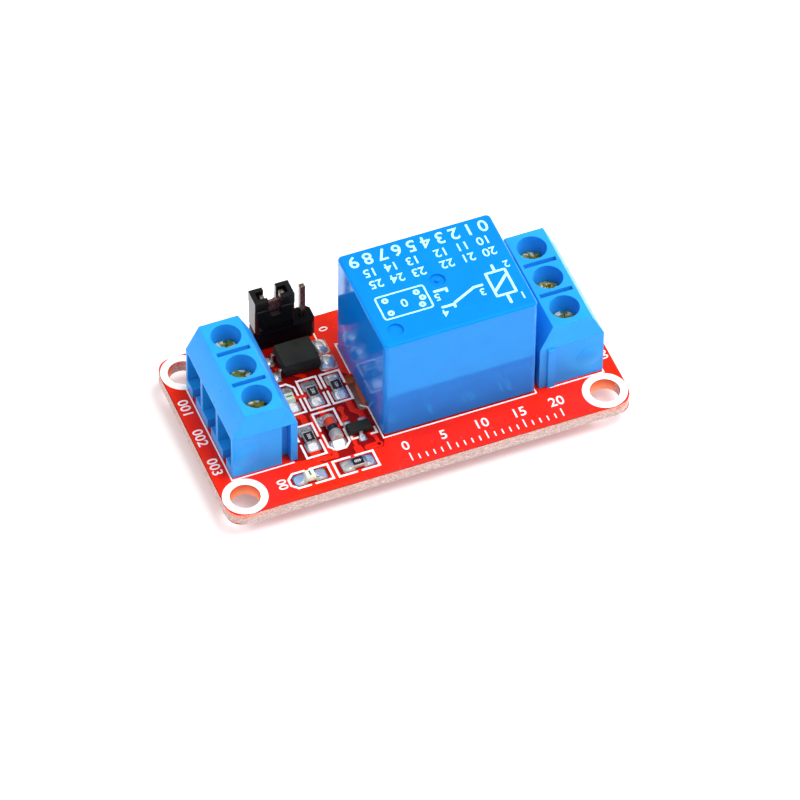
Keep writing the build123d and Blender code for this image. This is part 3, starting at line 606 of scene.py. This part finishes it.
tracks = [
    ([(18.4, 12.9), (18.9, 12.2), (18.9, 10.7), (19.6, 9.9), (19.6, 8.6)], 0.75),
    ([(15.45, 13.4), (15.45, 10.2)], 0.8),
    ([(12.5, 13.4), (12.5, 12.2), (13.0, 11.6), (13.0, 9.6)], 0.8),
    ([(13.2, 14.9), (14.9, 14.7)], 0.6),
    ([(12.4, 6.8), (12.4, 5.2)], 1.2),
    ([(15.4, 6.6), (14.5, 5.3), (14.5, 4.85), (13.1, 4.85)], 0.7),
    ([(17.45, 7.2), (17.3, 5.7), (17.3, 3.2)], 0.5),
    ([(18.5, 4.66), (19.9, 4.68)], 0.9),
    ([(19.4, 6.6), (19.9, 5.9), (19.9, 4.7)], 0.45),
    ([(17.65, 11.3), (17.6, 9.85), (16.6, 9.0), (16.2, 8.9)], 0.4),
    ([(18.4, 16.2), (18.4, 18.2), (18.9, 19.3)], 0.7),
    ([(15.45, 16.2), (15.45, 17.6), (14.2, 18.6), (12.9, 19.8)], 0.6),
    ([(14.05, 11.5), (14.05, 5.2)], 0.5),
    ([(11.0, 9.0), (11.0, 12.0), (10.2, 12.8)], 0.5),
]
rings = [(17.65, 11.32), (17.59, 9.83), (18.52, 4.66), (19.87, 4.68), (14.48, 4.85), (13.1, 4.85)]
lanes = [stroke(ruled(path), width, top, track_top) for path, width in tracks]
put("copper_tracks", lanes, mask_copper, 30, False)


def turned(profile, centre, axis=2, sides=32, closed=False):
    """Each (radius, distance) of the profile goes round a line through the centre, in millimetres: the angle
    gives two parts of the radius by cosine and sine, and the distance runs along the line."""
    profile = np.asarray(profile, float)
    angle = np.linspace(0, 2 * math.pi, sides, endpoint=False)
    out = np.zeros((len(profile), sides, 3))
    out[..., (axis + 1) % 3] = profile[:, :1] * np.cos(angle)
    out[..., (axis + 2) % 3] = profile[:, :1] * np.sin(angle)
    out[..., axis] = profile[:, 1:]
    return (out.reshape(-1, 3) + centre) * mm, cells(len(profile), sides, closed, True)


z = top / mm
lip = [(0.42, 0), (0.42, 0.03), (0.36, 0.05), (0.24, 0.05), (0.17, 0.02), (0.15, -0.2), (0.0, -0.2)]
put("through_rings", [turned(lip, (*ruled(place), z), sides=20) for place in rings], mask_copper)
print("tracks", len(tracks), "rings", len(rings))

# %% [markdown]
# White print says where parts go: a box round each chip, open half way along, a line beside each terminal
# block, a ring round each hole. The ink is a few hundredths of a millimetre thick. Only plain numbers and a
# millimetre scale are lettered.

# %% White print
ink_low, ink_high = top, copper_top + 0.025 * mm
box_gap = 0.7


def bracket(path, size):
    """A path through four points, with its two inner corners cut off by that many millimetres."""
    a, b, c, d = np.array(path, float)
    if not size:
        return [a, b, c, d]
    step = lambda start, end: (end - start) / np.abs(end - start).sum() * size
    return [a, b + step(b, a), b + step(b, c), c + step(c, b), c + step(c, d), d]


def open_box(x0, y0, x1, y1, back=0.0, front=0.0):
    """Two brackets that make a box with a gap half way along its longer sides. The back one, or the left one
    of a box that lies down, and the front or right one can have their corners cut."""
    if x1 - x0 > y1 - y0:
        a, b = (x0 + x1 - box_gap) / 2, (x0 + x1 + box_gap) / 2
        first, second = [(a, y1), (x0, y1), (x0, y0), (a, y0)], [(b, y0), (x1, y0), (x1, y1), (b, y1)]
    else:
        a, b = (y0 + y1 - box_gap) / 2, (y0 + y1 + box_gap) / 2
        first, second = [(x0, b), (x0, y1), (x1, y1), (x1, b)], [(x1, a), (x1, y0), (x0, y0), (x0, a)]
    return [bracket(first, back), bracket(second, front)]


boxes = [(17.2, 12.35, 19.6, 17.05), (14.3, 12.35, 16.7, 17.1), (11.35, 12.35, 13.75, 17.15, 0.75),
         (11.25, 5.55, 13.65, 10.45), (14.2, 5.55, 16.85, 11.65, 0, 0.75), (13.75, 1.6, 18.75, 4.0),
         (8.0, 1.65, 13.05, 3.95, 0.7)]
wide_lines = [path for box in boxes for path in open_box(*box)]
wide_lines += [[(17.22, 7.4), (17.22, 6.45), (18.0, 6.45)], [(20.3, 7.3), (20.3, 6.45), (19.6, 6.45)]]
fine_lines = [
    [(1.9, 20.7), (1.9, 5.55), (9.6, 5.55)],
    [(41.8, 5.5), (48.55, 5.5), (48.55, 20.8)],
    [(20.7, 21.0), (20.7, 16.1)],
    [(19.95, 11.0), (20.7, 10.4), (20.7, 5.3), (39.9, 5.3), (39.9, 20.9), (20.7, 20.9)],
    [(18.25, 22.3), (18.95, 22.3), (18.95, 23.4)],
    [(11.8, 25.1), (18.9, 25.1)],
]
inked = [stroke(ruled(path), 0.27, ink_low, ink_high) for path in wide_lines]
inked += [stroke(ruled(path), 0.18, ink_low, ink_high) for path in fine_lines]
put("printed_lines", inked, ink, 30, False)
collar = [(1.80, 0), (1.80, 0.05), (1.83, 0.065), (2.66, 0.065), (2.70, 0.05), (2.70, 0)]
put("printed_rings", [turned(collar, (x, y, z), sides=64, closed=True) for x, y in hole_places], ink)


def lettering(name, words, low, high, material, weight):
    """Plain numbers as flat pieces. Each entry is the word, its middle in millimetres, its size and its turn.
    The strokes grow by the weight, a share of the size."""
    parts = []
    for word, x, y, size, turn in words:
        curve = bpy.data.curves.new(name, "FONT")
        curve.body, curve.size, curve.align_x, curve.align_y = word, size * mm, "CENTER", "CENTER"
        curve.extrude, curve.offset, curve.resolution_u = (high - low) / 2, size * weight * mm, 3
        level = Matrix.Translation((x * mm, y * mm, (low + high) / 2))
        mesh = mesh_of(curve, level @ Matrix.Rotation(math.radians(turn), 4, "Z"))
        parts.append(([v.co[:] for v in mesh.vertices], [list(p.vertices) for p in mesh.polygons]))
        bpy.data.meshes.remove(mesh)
    return put(name, parts, material, 30)


numbers = [(word, *ruled((0.70, y)), 1.8, -90) for word, y in (("001", 17.9), ("002", 13.0), ("003", 8.2))]
numbers += [(word, *ruled((49.55, y)), 1.45, 90) for word, y in (("004", 8.4), ("005", 13.4), ("006", 18.4))]
numbers += [("00", *ruled((7.05, 2.85)), 1.6, -90), ("0", *ruled((20.2, 23.7)), 1.5, -90)]
scale_start, scale_step = 22.6, 0.95
marks_x = [scale_start + scale_step * k for k in range(21)]
numbers += [(str(k), *ruled((marks_x[k], 3.2)), 1.9, 0) for k in (0, 10, 20, 5, 15)]
lettering("printed_numbers", numbers, ink_low, ink_high, ink, 0.008)
ends = [ruled([(x, 0.9), (x, 1.5 if k % 5 else 2.0)]) for k, x in enumerate(marks_x)]
put("printed_scale", [stroke(path, 0.16, ink_low, ink_high) for path in ends], ink, 30, False)
print("printed", len(wide_lines) + len(fine_lines), "lines")

# %% [markdown]
# The terminal blocks are moulded in one blue plastic, satin and a little milky. The same recipe serves every
# other moulded piece: a slow change of tone, very soft waves where the plastic shrank as it cooled, and fine
# flecks. Walls above a given height can be shaded as if they leaned back, for draft too small to see
# otherwise.

# %% Blue plastics
def moulded(name, colour, deep, rough, wave=0.012, fleck=0.004, lean_from=None, **fixed):
    """Moulded plastic: a slow change of tone, soft waves and fine flecks. Above the height to lean from, in
    millimetres, a relief that falls by a fifth of the rise shades upright walls as if they leaned back."""
    plastic = Finish(name)
    tone = plastic.mix(plastic.grain(3.0, 2).between(0.3, 0.7), colour, deep)
    leaning = None
    if lean_from is not None:
        leaning = plastic.relief((plastic.along(2) - lean_from).highest(0) * -0.2, 1.0)
    soft = plastic.relief(plastic.grain(1.6, 1), wave, 0.5, leaning)
    fine = plastic.relief(plastic.grain(0.12, 2), fleck, 0.35, soft)
    shine = plastic.grain(0.8, 3).between(0.25, 0.75, rough * 0.85, rough * 1.15)
    return plastic.shade(base_color=tone, roughness=shine, normal=fine, ior=1.5, **fixed)


shoulder_at = z + 6.6
block_blue = moulded("block_blue", (0.018, 0.29, 0.80), (0.014, 0.27, 0.75), 0.32, fleck=0.001,
                     lean_from=shoulder_at, specular=0.5, specular_tint=(0.3, 0.85, 1, 1))
for end in ("input", "output"):
    dressed(end + "_terminal_housing", 0.13, block_blue, "terminal_blue")

# %% [markdown]
# The tool that pushes a warm moulding out of its mould leaves a round mark on each end wall, near the wire
# entries. It is a disc a few hundredths of a millimetre thick, a profile turned about a line along the block,
# and it only shows where light grazes the wall. A rib stands out from one end of each block, so that end's
# wall lies deeper.

# %% Marks of the mould
rib, mark_inset, mark_height = 0.35, 1.75, 3.2
walls, marks = [], []
for end in ("input", "output"):
    low, high = corners(end + "_terminal_housing")
    front, back = (low[1], high[1] - rib) if end == "input" else (low[1] + rib, high[1])
    mark_x = low[0] + mark_inset if end == "input" else high[0] - mark_inset
    for number, (wall, out) in enumerate(((front, -0.04), (back, 0.04))):
        walls.append((low[0] + 0.05, high[0] - 0.05, wall, number + len(end)))
        marks.append(turned([(0, -out), (1.6, -out), (1.6, out * 0.6), (1.54, out), (0, out)],
                            (mark_x, wall, z + mark_height), 1, 40))
put("mould_marks", marks, block_blue)

# %% [markdown]
# Where the two halves of the mould met, a fine ridge of plastic runs across each end wall at the height of
# the shoulders. It is uneven, as such a flash line is, and catches a thin line of light.

# %% Flash lines
def ridge(low_x, high_x, wall, seed):
    """A ridge along x on an upright wall. Its section is a sine hump a quarter of a millimetre high. It
    stands out by half of flash, plus the other half times the square of a sum of two sines of x, and is nil
    at both ends."""
    out = math.copysign(flash, wall)
    u, v = np.linspace(0, 1, 90)[:, None], np.linspace(0, 1, 7)[None]
    x = low_x + (high_x - low_x) * u
    swell = 0.5 + 0.5 * ((np.sin(2.1 * x + seed) + np.sin(5.3 * x + 2 * seed)) / 2) ** 2
    rise = out * swell * np.minimum(1, 12 * np.minimum(u, 1 - u)) * np.sin(math.pi * v)
    y = wall - math.copysign(0.02, wall) + rise
    points = np.stack([x + 0 * v, y, shoulder_at - 0.10 + 0.25 * v + 0 * x], -1).reshape(-1, 3) * mm
    faces = cells(90, 7)
    return points, faces if out < 0 else faces[:, ::-1]


flash = 0.14
put("flash_lines", [ridge(*wall) for wall in walls], block_blue, 60)

# %% [markdown]
# The clamp screws are steel with a thin greenish yellow coat. They sit deep in blue wells, so most of what
# they mirror is dark: bright patches in their colour are painted highlights, and the coat's tone is kept
# dark partly as painted shade of the wells. The clamps and the wire guards under them are tinned brass.

# %% Metals of the terminals
zinc = Finish("screw_zinc")
# bright patches painted into the colour as highlights
painted_glints = zinc.grain(0.50, 1).between(0.54, 0.60)
# dark olive to gold: the coat's own tone, kept dark partly as painted shade of the deep wells
hue = zinc.mix(zinc.grain(0.5, 1).between(0.42, 0.58), (0.26, 0.28, 0.03), (0.78, 0.56, 0.10))
zinc.shade(base_color=zinc.mix(painted_glints, hue, (0.96, 0.93, 0.78)), metallic=0.70,
           roughness=zinc.grain(0.6, 2).between(0.3, 0.7, 0.14, 0.28),
           normal=zinc.relief(zinc.grain(0.62, 1), 0.16, 0.9))
nickel = metal("clamp_nickel", (0.66, 0.64, 0.60), (0.55, 0.53, 0.50), (0.8, 3), (0.4, 3, 0.2, 0.4),
               (0.3, 2, 0.01, 0.4))
for pole in [f"{end}_{{}}_{n}" for end in ("input", "output") for n in (1, 2, 3)]:
    dressed(pole.format("screw"), 0.06, zinc.material, "screw_metal")
    dressed(pole.format("contact"), 0.03, nickel, "terminal_metal")
    dressed(pole.format("wire_guard"), 0.03, nickel, "terminal_metal")
print("screws:", sum("_screw_" in name for name in made))

# %% [markdown]
# The relay is a glossy blue case over a coil, an iron frame and a contact spring. The case can be taken off
# the model, so each inner piece gets a finish of its own. Handling leaves the case with tiny scuffs: short
# pale specks that are a little rougher than the rest.

# %% Relay case
case = Finish("case_blue")
scuff = case.grain(0.22, 4, 0.65, (1, 0.35, 1)).between(0.72, 0.80)
case_tone = case.mix(case.grain(4.0, 2).between(0.3, 0.7), (0.002, 0.20, 0.66), (0.002, 0.185, 0.63))
case_wave = case.relief(case.grain(2.6, 1), 0.008, 0.5)
case_rough = case.grain(0.9, 3).between(0.3, 0.7, 0.07, 0.12) + scuff * 0.25
case.shade(base_color=case.mix(scuff * 0.5, case_tone, (0.20, 0.55, 0.95)), ior=1.8, specular=0.55,
           specular_tint=(0.04, 0.55, 1, 1), roughness=case_rough,
           normal=case.relief(case.grain(0.12, 2), 0.0015, 0.3, case_wave))
dressed("relay_case", 0.30, case.material, "relay_blue", segments=4)

# %% [markdown]
# The case carries plain numbers and the usual small picture of a coil and a contact, in a pale blue ink. The
# picture is drawn with the same strokes as the print on the board.

# %% Print on the relay
relay_low, relay_high = corners("relay_case")
pale = blended("pale_ink", (0.20, 0.60, 0.90), (0.42, 0.82, 0.98), (0.2, 3), 0.4, (0.1, 2, 0.004, 0.5),
               span=(0.3, 0.5))
case_top = relay_high[2] * mm
pale_low, pale_high = case_top - 0.01 * mm, case_top + 0.012 * mm


def on_case(points):
    """Places on the case's top, measured from its middle and turned half a turn, as the print is."""
    return (relay_low[:2] + relay_high[:2]) / 2 - np.asarray(points, float)


coil = rounded(-7.9, 1.2, -5.5, 4.9, 0.05, 2)
base_plan = rounded(1.9, 0.1, 7.9, 3.7, 0.3, 3)
wiring = [[(-6.7, 4.9), (-6.7, 6.3)], [(-6.7, 1.2), (-6.7, 0.2)], [(-7.9, 1.9), (-5.5, 4.2)],
          [(-4.5, 2.6), (-3.5, 2.6), (-0.6, 4.0)], [(-0.4, 4.6), (-0.4, 4.2), (1.0, 4.2)],
          [(-0.4, 2.0), (-0.4, 1.6), (1.0, 1.6)]]
pin_rings = [arc(x, y, 0.28, count=12) for x, y in ((3.0, 0.9), (3.0, 2.9), (6.9, 0.9), (6.9, 2.9), (2.6, 1.9))]
strokes = [stroke(on_case(path), width, pale_low, pale_high, closed=True)
           for path, width in [(coil, 0.32), (base_plan, 0.22)] + [(path, 0.28) for path in pin_rings]]
strokes += [stroke(on_case(path), 0.36, pale_low, pale_high - 0.005 * mm) for path in wiring]
put("relay_diagram", strokes, pale, 30, False)
signs = [(str(k), (-8.1 + 1.8 * k, -6.1), 2.5) for k in range(10)]
signs += [(str(10 * row + k), (-7.3 + 2.65 * k + (0.9 if k > 2 else 0), y), 1.75)
          for row, y in ((1, -3.9), (2, -2.0)) for k in range(6)]
pin_signs = (-8.4, 5.7), (-8.4, 0.5), (-4.2, 3.6), (1.0, 5.1), (1.0, 2.5)
signs += [(str(k + 1), spot, 1.5) for k, spot in enumerate(pin_signs)] + [("0", (4.9, 1.9), 1.7)]
signs = [(word, *on_case(spot), size, 180) for word, spot, size in signs]
lettering("relay_numbers", signs, pale_low, pale_high, pale, 0.012)

# %% [markdown]
# Inside the case an electromagnet pulls a flap of iron that moves a contact spring. The coil is enamelled
# copper wire, so its finish has one ridge for every turn of wire: a sine of the height. Its colour is lighter
# on each crest and darker in each groove, as painted shade. Iron and brass are plain worked metals.

# %% Inside the relay
iron = metal("relay_iron", (0.52, 0.52, 0.52), (0.42, 0.42, 0.43), (1.5, 3), (0.6, 3, 0.25, 0.5))
wire = Finish("winding")
turns = wire.node("ShaderNodeMath", {"operation": "SINE"}, {0: wire.along(2) * 50})
# crests lighter, grooves darker: painted shade between the turns
wire.shade(base_color=wire.mix(turns.between(-1, 1), (0.42, 0.11, 0.035), (0.62, 0.20, 0.08)), metallic=0.8,
           roughness=0.35, normal=wire.relief(turns, 0.03, 0.8))
brass = metal("spring_brass", (0.72, 0.52, 0.25), (0.62, 0.42, 0.18), (0.7, 2), (0.5, 2, 0.2, 0.4))
black_base = moulded("base_black", (0.012, 0.012, 0.013), (0.009, 0.009, 0.010), 0.4)
springs = ("common_strip", "open_contact", "closed_contact", "moving_contact", "coil_pins")
for nodes, width, material, slot in ((("core", "yoke", "armature"), 0.05, iron, "iron"),
                                     (springs, 0.0, brass, "contact_brass"),
                                     (("base", "bobbin"), 0.05, black_base, "relay_black"),
                                     (("coil",), 0.05, wire.material, "copper_winding")):
    for node in nodes:
        dressed("relay_" + node, width, material, slot)
print("relay pieces:", sum(name.startswith("relay") for name in made))

# %% [markdown]
# The header is black plastic round three square pins, and the jumper cap joins two of them with a clip that
# shows between its towers. Black plastic isn't black paint: it mirrors the white table at its edges, so it
# needs a low base colour and gloss. The pins are plated; the brown and red of their colour is painted
# reflection of what stands round them.

# %% Header and jumper
header_black = moulded("header_black", (0.004, 0.004, 0.005), (0.003, 0.003, 0.004), 0.42, specular=0.06)
cap_black = moulded("cap_black", (0.004, 0.0045, 0.0045), (0.003, 0.003, 0.0035), 0.20, specular=0.4)
dressed("header_base", 0.06, header_black, "header_black")
dressed("jumper_cap", 0.05, cap_black, "jumper_black")
# brown plating colour: painted reflection of the red board and dark parts round the pins
pin = metal("pin_plating", (0.30, 0.22, 0.18), (0.20, 0.15, 0.12), (0.6, 2), (0.4, 2, 0.25, 0.42))
clip = metal("clip_bronze", (0.46, 0.25, 0.24), (0.34, 0.17, 0.16), (0.5, 2), (0.4, 2, 0.25, 0.4))
for n in (1, 2, 3):
    dressed(f"header_pin_{n}", 0.03, pin, "pin_metal")
dressed("jumper_clip", 0.02, clip, "clip_metal")
print("header at", middle("header_base").round(2), "mm")

# %% [markdown]
# The optocoupler and the transistor are moulded in epoxy filled with ground glass, which is dull and nearly
# black. Their legs are tinned strips. The solid pieces have the right draft on their walls, so they only need
# soft edges.

# %% Epoxy parts
epoxy = moulded("epoxy", (0.022, 0.024, 0.020), (0.013, 0.014, 0.012), 0.55, 0.02, 0.03, specular=0.18)
dressed("optocoupler_body", 0.10, epoxy, "epoxy_black")
dressed("transistor_body", 0.06, epoxy, "epoxy_black")
for node in ("optocoupler_leads", "transistor_leads"):
    dressed(node, 0.02, tin, "lead_metal")

# %% [markdown]
# A chip resistor is a white ceramic slab with a black glaze on top and a metal cap on each end. All of that
# is on one solid, so its faces are sorted by how far along the chip they lie and by which way they point. A
# chip LED is the same idea: a carrier with two gold ends, and a milky lens in the middle with a green mark
# that shows its turn.

# %% Chips
ceramic = blended("chip_ceramic", (0.56, 0.54, 0.50), (0.44, 0.43, 0.40), (0.3, 2), 0.5)
glaze = moulded("chip_glaze", (0.010, 0.010, 0.011), (0.007, 0.007, 0.008), 0.28, specular=0.4)
caps = metal("chip_caps", (0.74, 0.73, 0.71), (0.60, 0.59, 0.58), (0.3, 3), (0.25, 3, 0.2, 0.42),
             (0.2, 3, 0.02, 0.5))
lens = blended("led_lens", (0.70, 0.73, 0.62), (0.56, 0.62, 0.46), (0.9, 2), 0.16, (0.4, 2, 0.01, 0.4),
               span=(0.35, 0.65), subsurface_weight=0.2, subsurface_scale=0.0004)
carrier = blended("led_carrier", (0.60, 0.68, 0.50), (0.48, 0.58, 0.38), (0.4, 2), 0.5)
green = blended("led_mark", (0.008, 0.13, 0.06), (0.012, 0.18, 0.08), (0.2, 2), 0.4)


def lying(node):
    """A chip's lowest and highest corner, its middle, and whether its length runs along y rather than x."""
    low, high = corners(node)
    return low, high, ((low + high) / 2)[:2], int(high[1] - low[1] > high[0] - low[0])


def chip(node, width, finishes, slot, choose):
    """A dressed chip whose faces are sorted: choose() gets how far along the chip each face's middle lies, as a
    share of half its length, and its height over the board in millimetres."""
    low, high, centre, along = lying(node)
    half = (high - low)[along] / 2
    sort_faces(dressed(node, width, finishes[0], slot), finishes[1:],
               lambda at, normal: choose(np.abs(at[:, along] - centre[along]) / half, at[:, 2] - z))
    return low, high, centre, along


cap_share, led_cap_share, carrier_top = 0.70, 0.72, 0.37
digits, glazed = [], []
for n in (1, 2, 3, 4):
    low, high, centre, along = chip(f"resistor_{n}", 0.035, [caps, ceramic], "chip_black",
                                    lambda far, up: np.where(far > cap_share, 0, 1))
    half = (high - low)[:2] / 2 * ((0.88, 0.66) if along else (0.66, 0.88))
    glazed.append(rounded(*(centre - half), *(centre + half), 0.08, 3))
    digits.append((str(100 * n), *centre, 0.58, 90 * along - 180))
chip_top = high[2] * mm
glaze_top = chip_top + 0.02 * mm
plate("chip_glazes", glazed, chip_top - 0.01 * mm, glaze_top, glaze, 0.006)
lettering("chip_numbers", digits, glaze_top - 0.005 * mm, glaze_top + 0.01 * mm, ink, -0.008)
for node in ("relay_led", "power_led"):
    low, high, centre, along = chip(node, 0.04, [caps, lens, carrier], "led_white", lambda far, up: np.where(
        up > carrier_top, 1, np.where(far > led_cap_share, 0, 2)))
    lens_top = high[2] * mm
    across = np.array([0.28, 0.0] if along else [0.0, 0.28])
    mark = stroke([centre - across, centre + across], 0.22, lens_top - 0.01 * mm, lens_top + 0.008 * mm)
    put(node + "_mark", [mark], green, clean=False)
print("chips:", len(digits), "resistors and 2 LEDs")

# %% [markdown]
# The diode is a round glass tube with a chip inside, a black band at its cathode end and a metal cap on each
# end. Its profile is turned about the line through its middle, and the rings of faces are sorted by their
# place on it.

# %% Diode
glass_red = moulded("glass_red", (0.62, 0.050, 0.012), (0.50, 0.030, 0.008), 0.10, 0.01, 0.002)
band_black = moulded("diode_band", (0.012, 0.012, 0.013), (0.009, 0.009, 0.01), 0.2)
dull_cap = blended("diode_caps", (0.62, 0.54, 0.51), (0.48, 0.41, 0.39), (0.3, 3), 0.42, (0.25, 3, 0.02, 0.5),
                   metallic=0.6)
diode_low, diode_high = corners("diode")
diode_at, diode_half = middle("diode"), (diode_high - diode_low)[1] / 2
shoulder = [(0, 1.0), (0.60, 1.0), (0.70, 0.975), (0.74, 0.93), (0.74, 0.775), (0.70, 0.745), (0.655, 0.735)]
waist = [(0.675, 0.68), (0.68, 0.60), (0.68, 0.22), (0.68, 0.10), (0.675, -0.28)]
front_cap = [(0.655, -0.33), (0.70, -0.35), (0.75, -0.39), (0.76, -0.86), (0.73, -0.95), (0.62, -1.0),
             (0, -1.0)]
tube = [(radius, share * diode_half) for radius, share in shoulder + waist + front_cap]
diode = put("diode_dressed", [turned(tube, diode_at, 1, 40)], dull_cap, stands_for="diode", slot="diode_glass")
back_cap, band_end, front_end = 0.74, 0.15, -0.33


def diode_parts(centre, normal):
    """Caps, black band or red glass, by the share of half the diode's length."""
    share = (centre[:, 1] - diode_at[1]) / diode_half
    return np.where((share > back_cap) | (share < front_end), 0, np.where(share < band_end, 2, 1))


sort_faces(diode, (glass_red, band_black), diode_parts)

# %% [markdown]
# Solder wets metal: it climbs a chip's end cap and thins out over the pad, and where there is a lot of it, it
# stands up as a shiny dome. Both are one formula on a disc: the rim is a circle pushed towards a square, and
# the height falls from the middle to the rim, more on the side away from the part.

# %% Solder on top
def rotated(points, angle):
    """Points turned about the origin by an angle in degrees."""
    c, s = math.cos(math.radians(angle)), math.sin(math.radians(angle))
    return points @ np.array([[c, s], [-s, c]])


solder = blended("solder", (0.88, 0.87, 0.85), (0.72, 0.71, 0.69), (0.9, 2), (0.5, 3, 0.14, 0.26),
                 (0.95, 1, 0.10, 0.7), metallic=0.75)


def bead(x, y, length, width, height, angle=0.0, lean=0.6, crown=3, bend=1.0, rings=9, sides=28):
    """A bead of solder on the board. Over a disc with share r from its middle and angle a, the rim point is
    half the length times cosine a to the power 0.8, with its sign, and half the width times sine a likewise.
    The height is the bead's times (1 - r to the crown) to the power 0.8, times 1 less a lean that grows along
    the length, to the power of the bend. A high crown and a full lean give the hollow slope against a chip's
    end."""
    r = np.linspace(1, 0, rings)[:, None] ** 0.8
    a = np.linspace(0, 2 * math.pi, sides, endpoint=False)[None]
    squared = lambda wave: np.sign(wave) * np.abs(wave) ** 0.8
    u, v = r * squared(np.cos(a)), r * squared(np.sin(a))
    rise = height * (1 - r ** crown) ** 0.8 * (1 - lean * (u + 1) / 2) ** bend
    level = rotated(np.stack([u * length / 2, v * width / 2], -1), angle) + (x, y)
    flat = np.concatenate([level, (rise + z + 0.03)[..., None]], -1)
    skirt = flat[:1].copy()
    skirt[..., 2] = z
    points = np.concatenate([skirt, flat]).reshape(-1, 3) * mm
    return points, cells(rings + 1, sides, False, True).tolist() + [list(range(sides))[::-1]]


beads, pads = [], []


def pad(x, y, length, width, angle=0.0):
    """The outline of a tinned pad with round corners, turned about its middle."""
    outline = rounded(-length / 2, -width / 2, length / 2, width / 2, min(length, width) * 0.18, 4)
    pads.append(rotated(outline, angle) + (x, y))


fillets = [(f"resistor_{n}", 1.0, 1.5, 0.50) for n in (1, 2, 3, 4)]
fillets += [("relay_led", 1.0, 1.45, 0.50), ("power_led", 1.0, 1.45, 0.50), ("diode", 0.95, 1.9, 0.80)]
for node, reach, wide, tall in fillets:
    low, high, centre, along = lying(node)
    half = (high - low)[along] / 2 + reach / 2
    for angle in (90 * along, 90 * along + 180):
        out = rotated(np.array([1.0, 0.0]), angle)
        beads.append(bead(*(centre + out * (half - 0.20)), reach + 0.40, wide, tall, angle, 0.97, 9, 1.3, 12))
        pad(*(centre + out * (half - 0.25)), reach + 0.55, wide + 0.25, angle)
coupler_low, coupler_high = corners("optocoupler_leads")
back_x, front_x, row_pitch = coupler_high[0] - 0.1, coupler_low[0] + 0.15, 2.54
for y in middle("optocoupler_leads")[1] + np.array([row_pitch, -row_pitch]) / 2:
    beads.append(bead(back_x, y, 2.1, 2.25, 0.95, 0, 0.25, 3, 1.0, 13, 40))
    beads.append(bead(front_x, y, 1.3, 1.35, 0.42, 180))
    pad(back_x, y, 2.2, 2.3)
    pad(front_x, y, 1.6, 1.6)
for low, high in islands("transistor_leads"):
    x, y = (low + high)[:2] / 2
    out, edge = (90, high[1]) if y > middle("transistor_body")[1] else (-90, low[1])
    beads.append(bead(x, edge, 1.0, 0.8, 0.34, out, 0.95, 8, 1.3))
    pad(x, edge, 1.0, 0.95, out)
put("smd_solder_beads", beads, solder, 60, stands_for="smd_solder", slot="solder")
plate("tinned_pads", pads, top, copper_top + 0.006 * mm, tin, 0.01)
print("beads of solder:", len(beads), "on", len(pads), "pads")

# %% [markdown]
# Under the board each pin stands in a cone of solder with hollow sides, the shape that liquid takes between a
# flat pad and an upright pin. Its profile falls as a square from the pad's rim to the pin, and it is turned
# about the pin.

# %% Underside
def cone(low, high):
    """Solder round one pin: the radius is the pin's plus the rest times (1 - depth share) to the power 2.2."""
    wide, deep = (high - low)[0] / 2, -low[2]
    share = np.linspace(0, 1, 10)
    radius = wide * (0.42 + 0.58 * (1 - share) ** 2.2)
    profile = [(0, 0), *zip(radius, -deep * share), (0, -deep)]
    return turned(profile, (*(low + high)[:2] / 2, 0), sides=28)


under_pads, under_open = [], [rounded(-14.2, 9.8, -5.1, 12.6, 0.8)]
for node in ("terminal_solder", "relay_solder", "header_solder"):
    places = islands(node)
    put(node + "_cones", [cone(*ends) for ends in places], solder, 50, stands_for=node, slot="solder")
    for low, high in places:
        (x, y), wide = (low + high)[:2] / 2, (high - low)[0] / 2
        under_pads.append(arc(x, y, wide + 0.15))
        # one opening holds the whole header, and one the slot
        if node != "header_solder" and (x + 1.9) ** 2 + y ** 2 > 4:
            under_open.append(arc(x, y, wide + 0.5))
plate("under_pads", under_pads, -0.03 * mm, 0, tin, 0.008)
under_slot = rounded(-6.0, -3.7, 2.2, 3.9, 0.6)
under_holes = [arc(x, y, bare_round_hole) for x, y in hole_places]
plate("copper_under", [copper_edge, under_slot] + under_holes + under_open, -copper_skin, 0, mask_copper)
print("pads under the board:", len(under_pads))

# %% [markdown]
# Last come the picture's tone and the boxes of the solid and the dressed model, printed as how far the
# dressed model reaches past the solid part.

# %% Finish
scene.view_settings.view_transform = "Standard"
dressed_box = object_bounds()
past = [[round((a - b) / mm, 3) for a, b in zip(p, q)] for p, q in zip(dressed_box, solid_box)]
print("dressed minus solid, mm:", past)
for piece in made.values():
    piece.data.calc_loop_triangles()
print("triangles:", sum(len(piece.data.loop_triangles) for piece in made.values()))
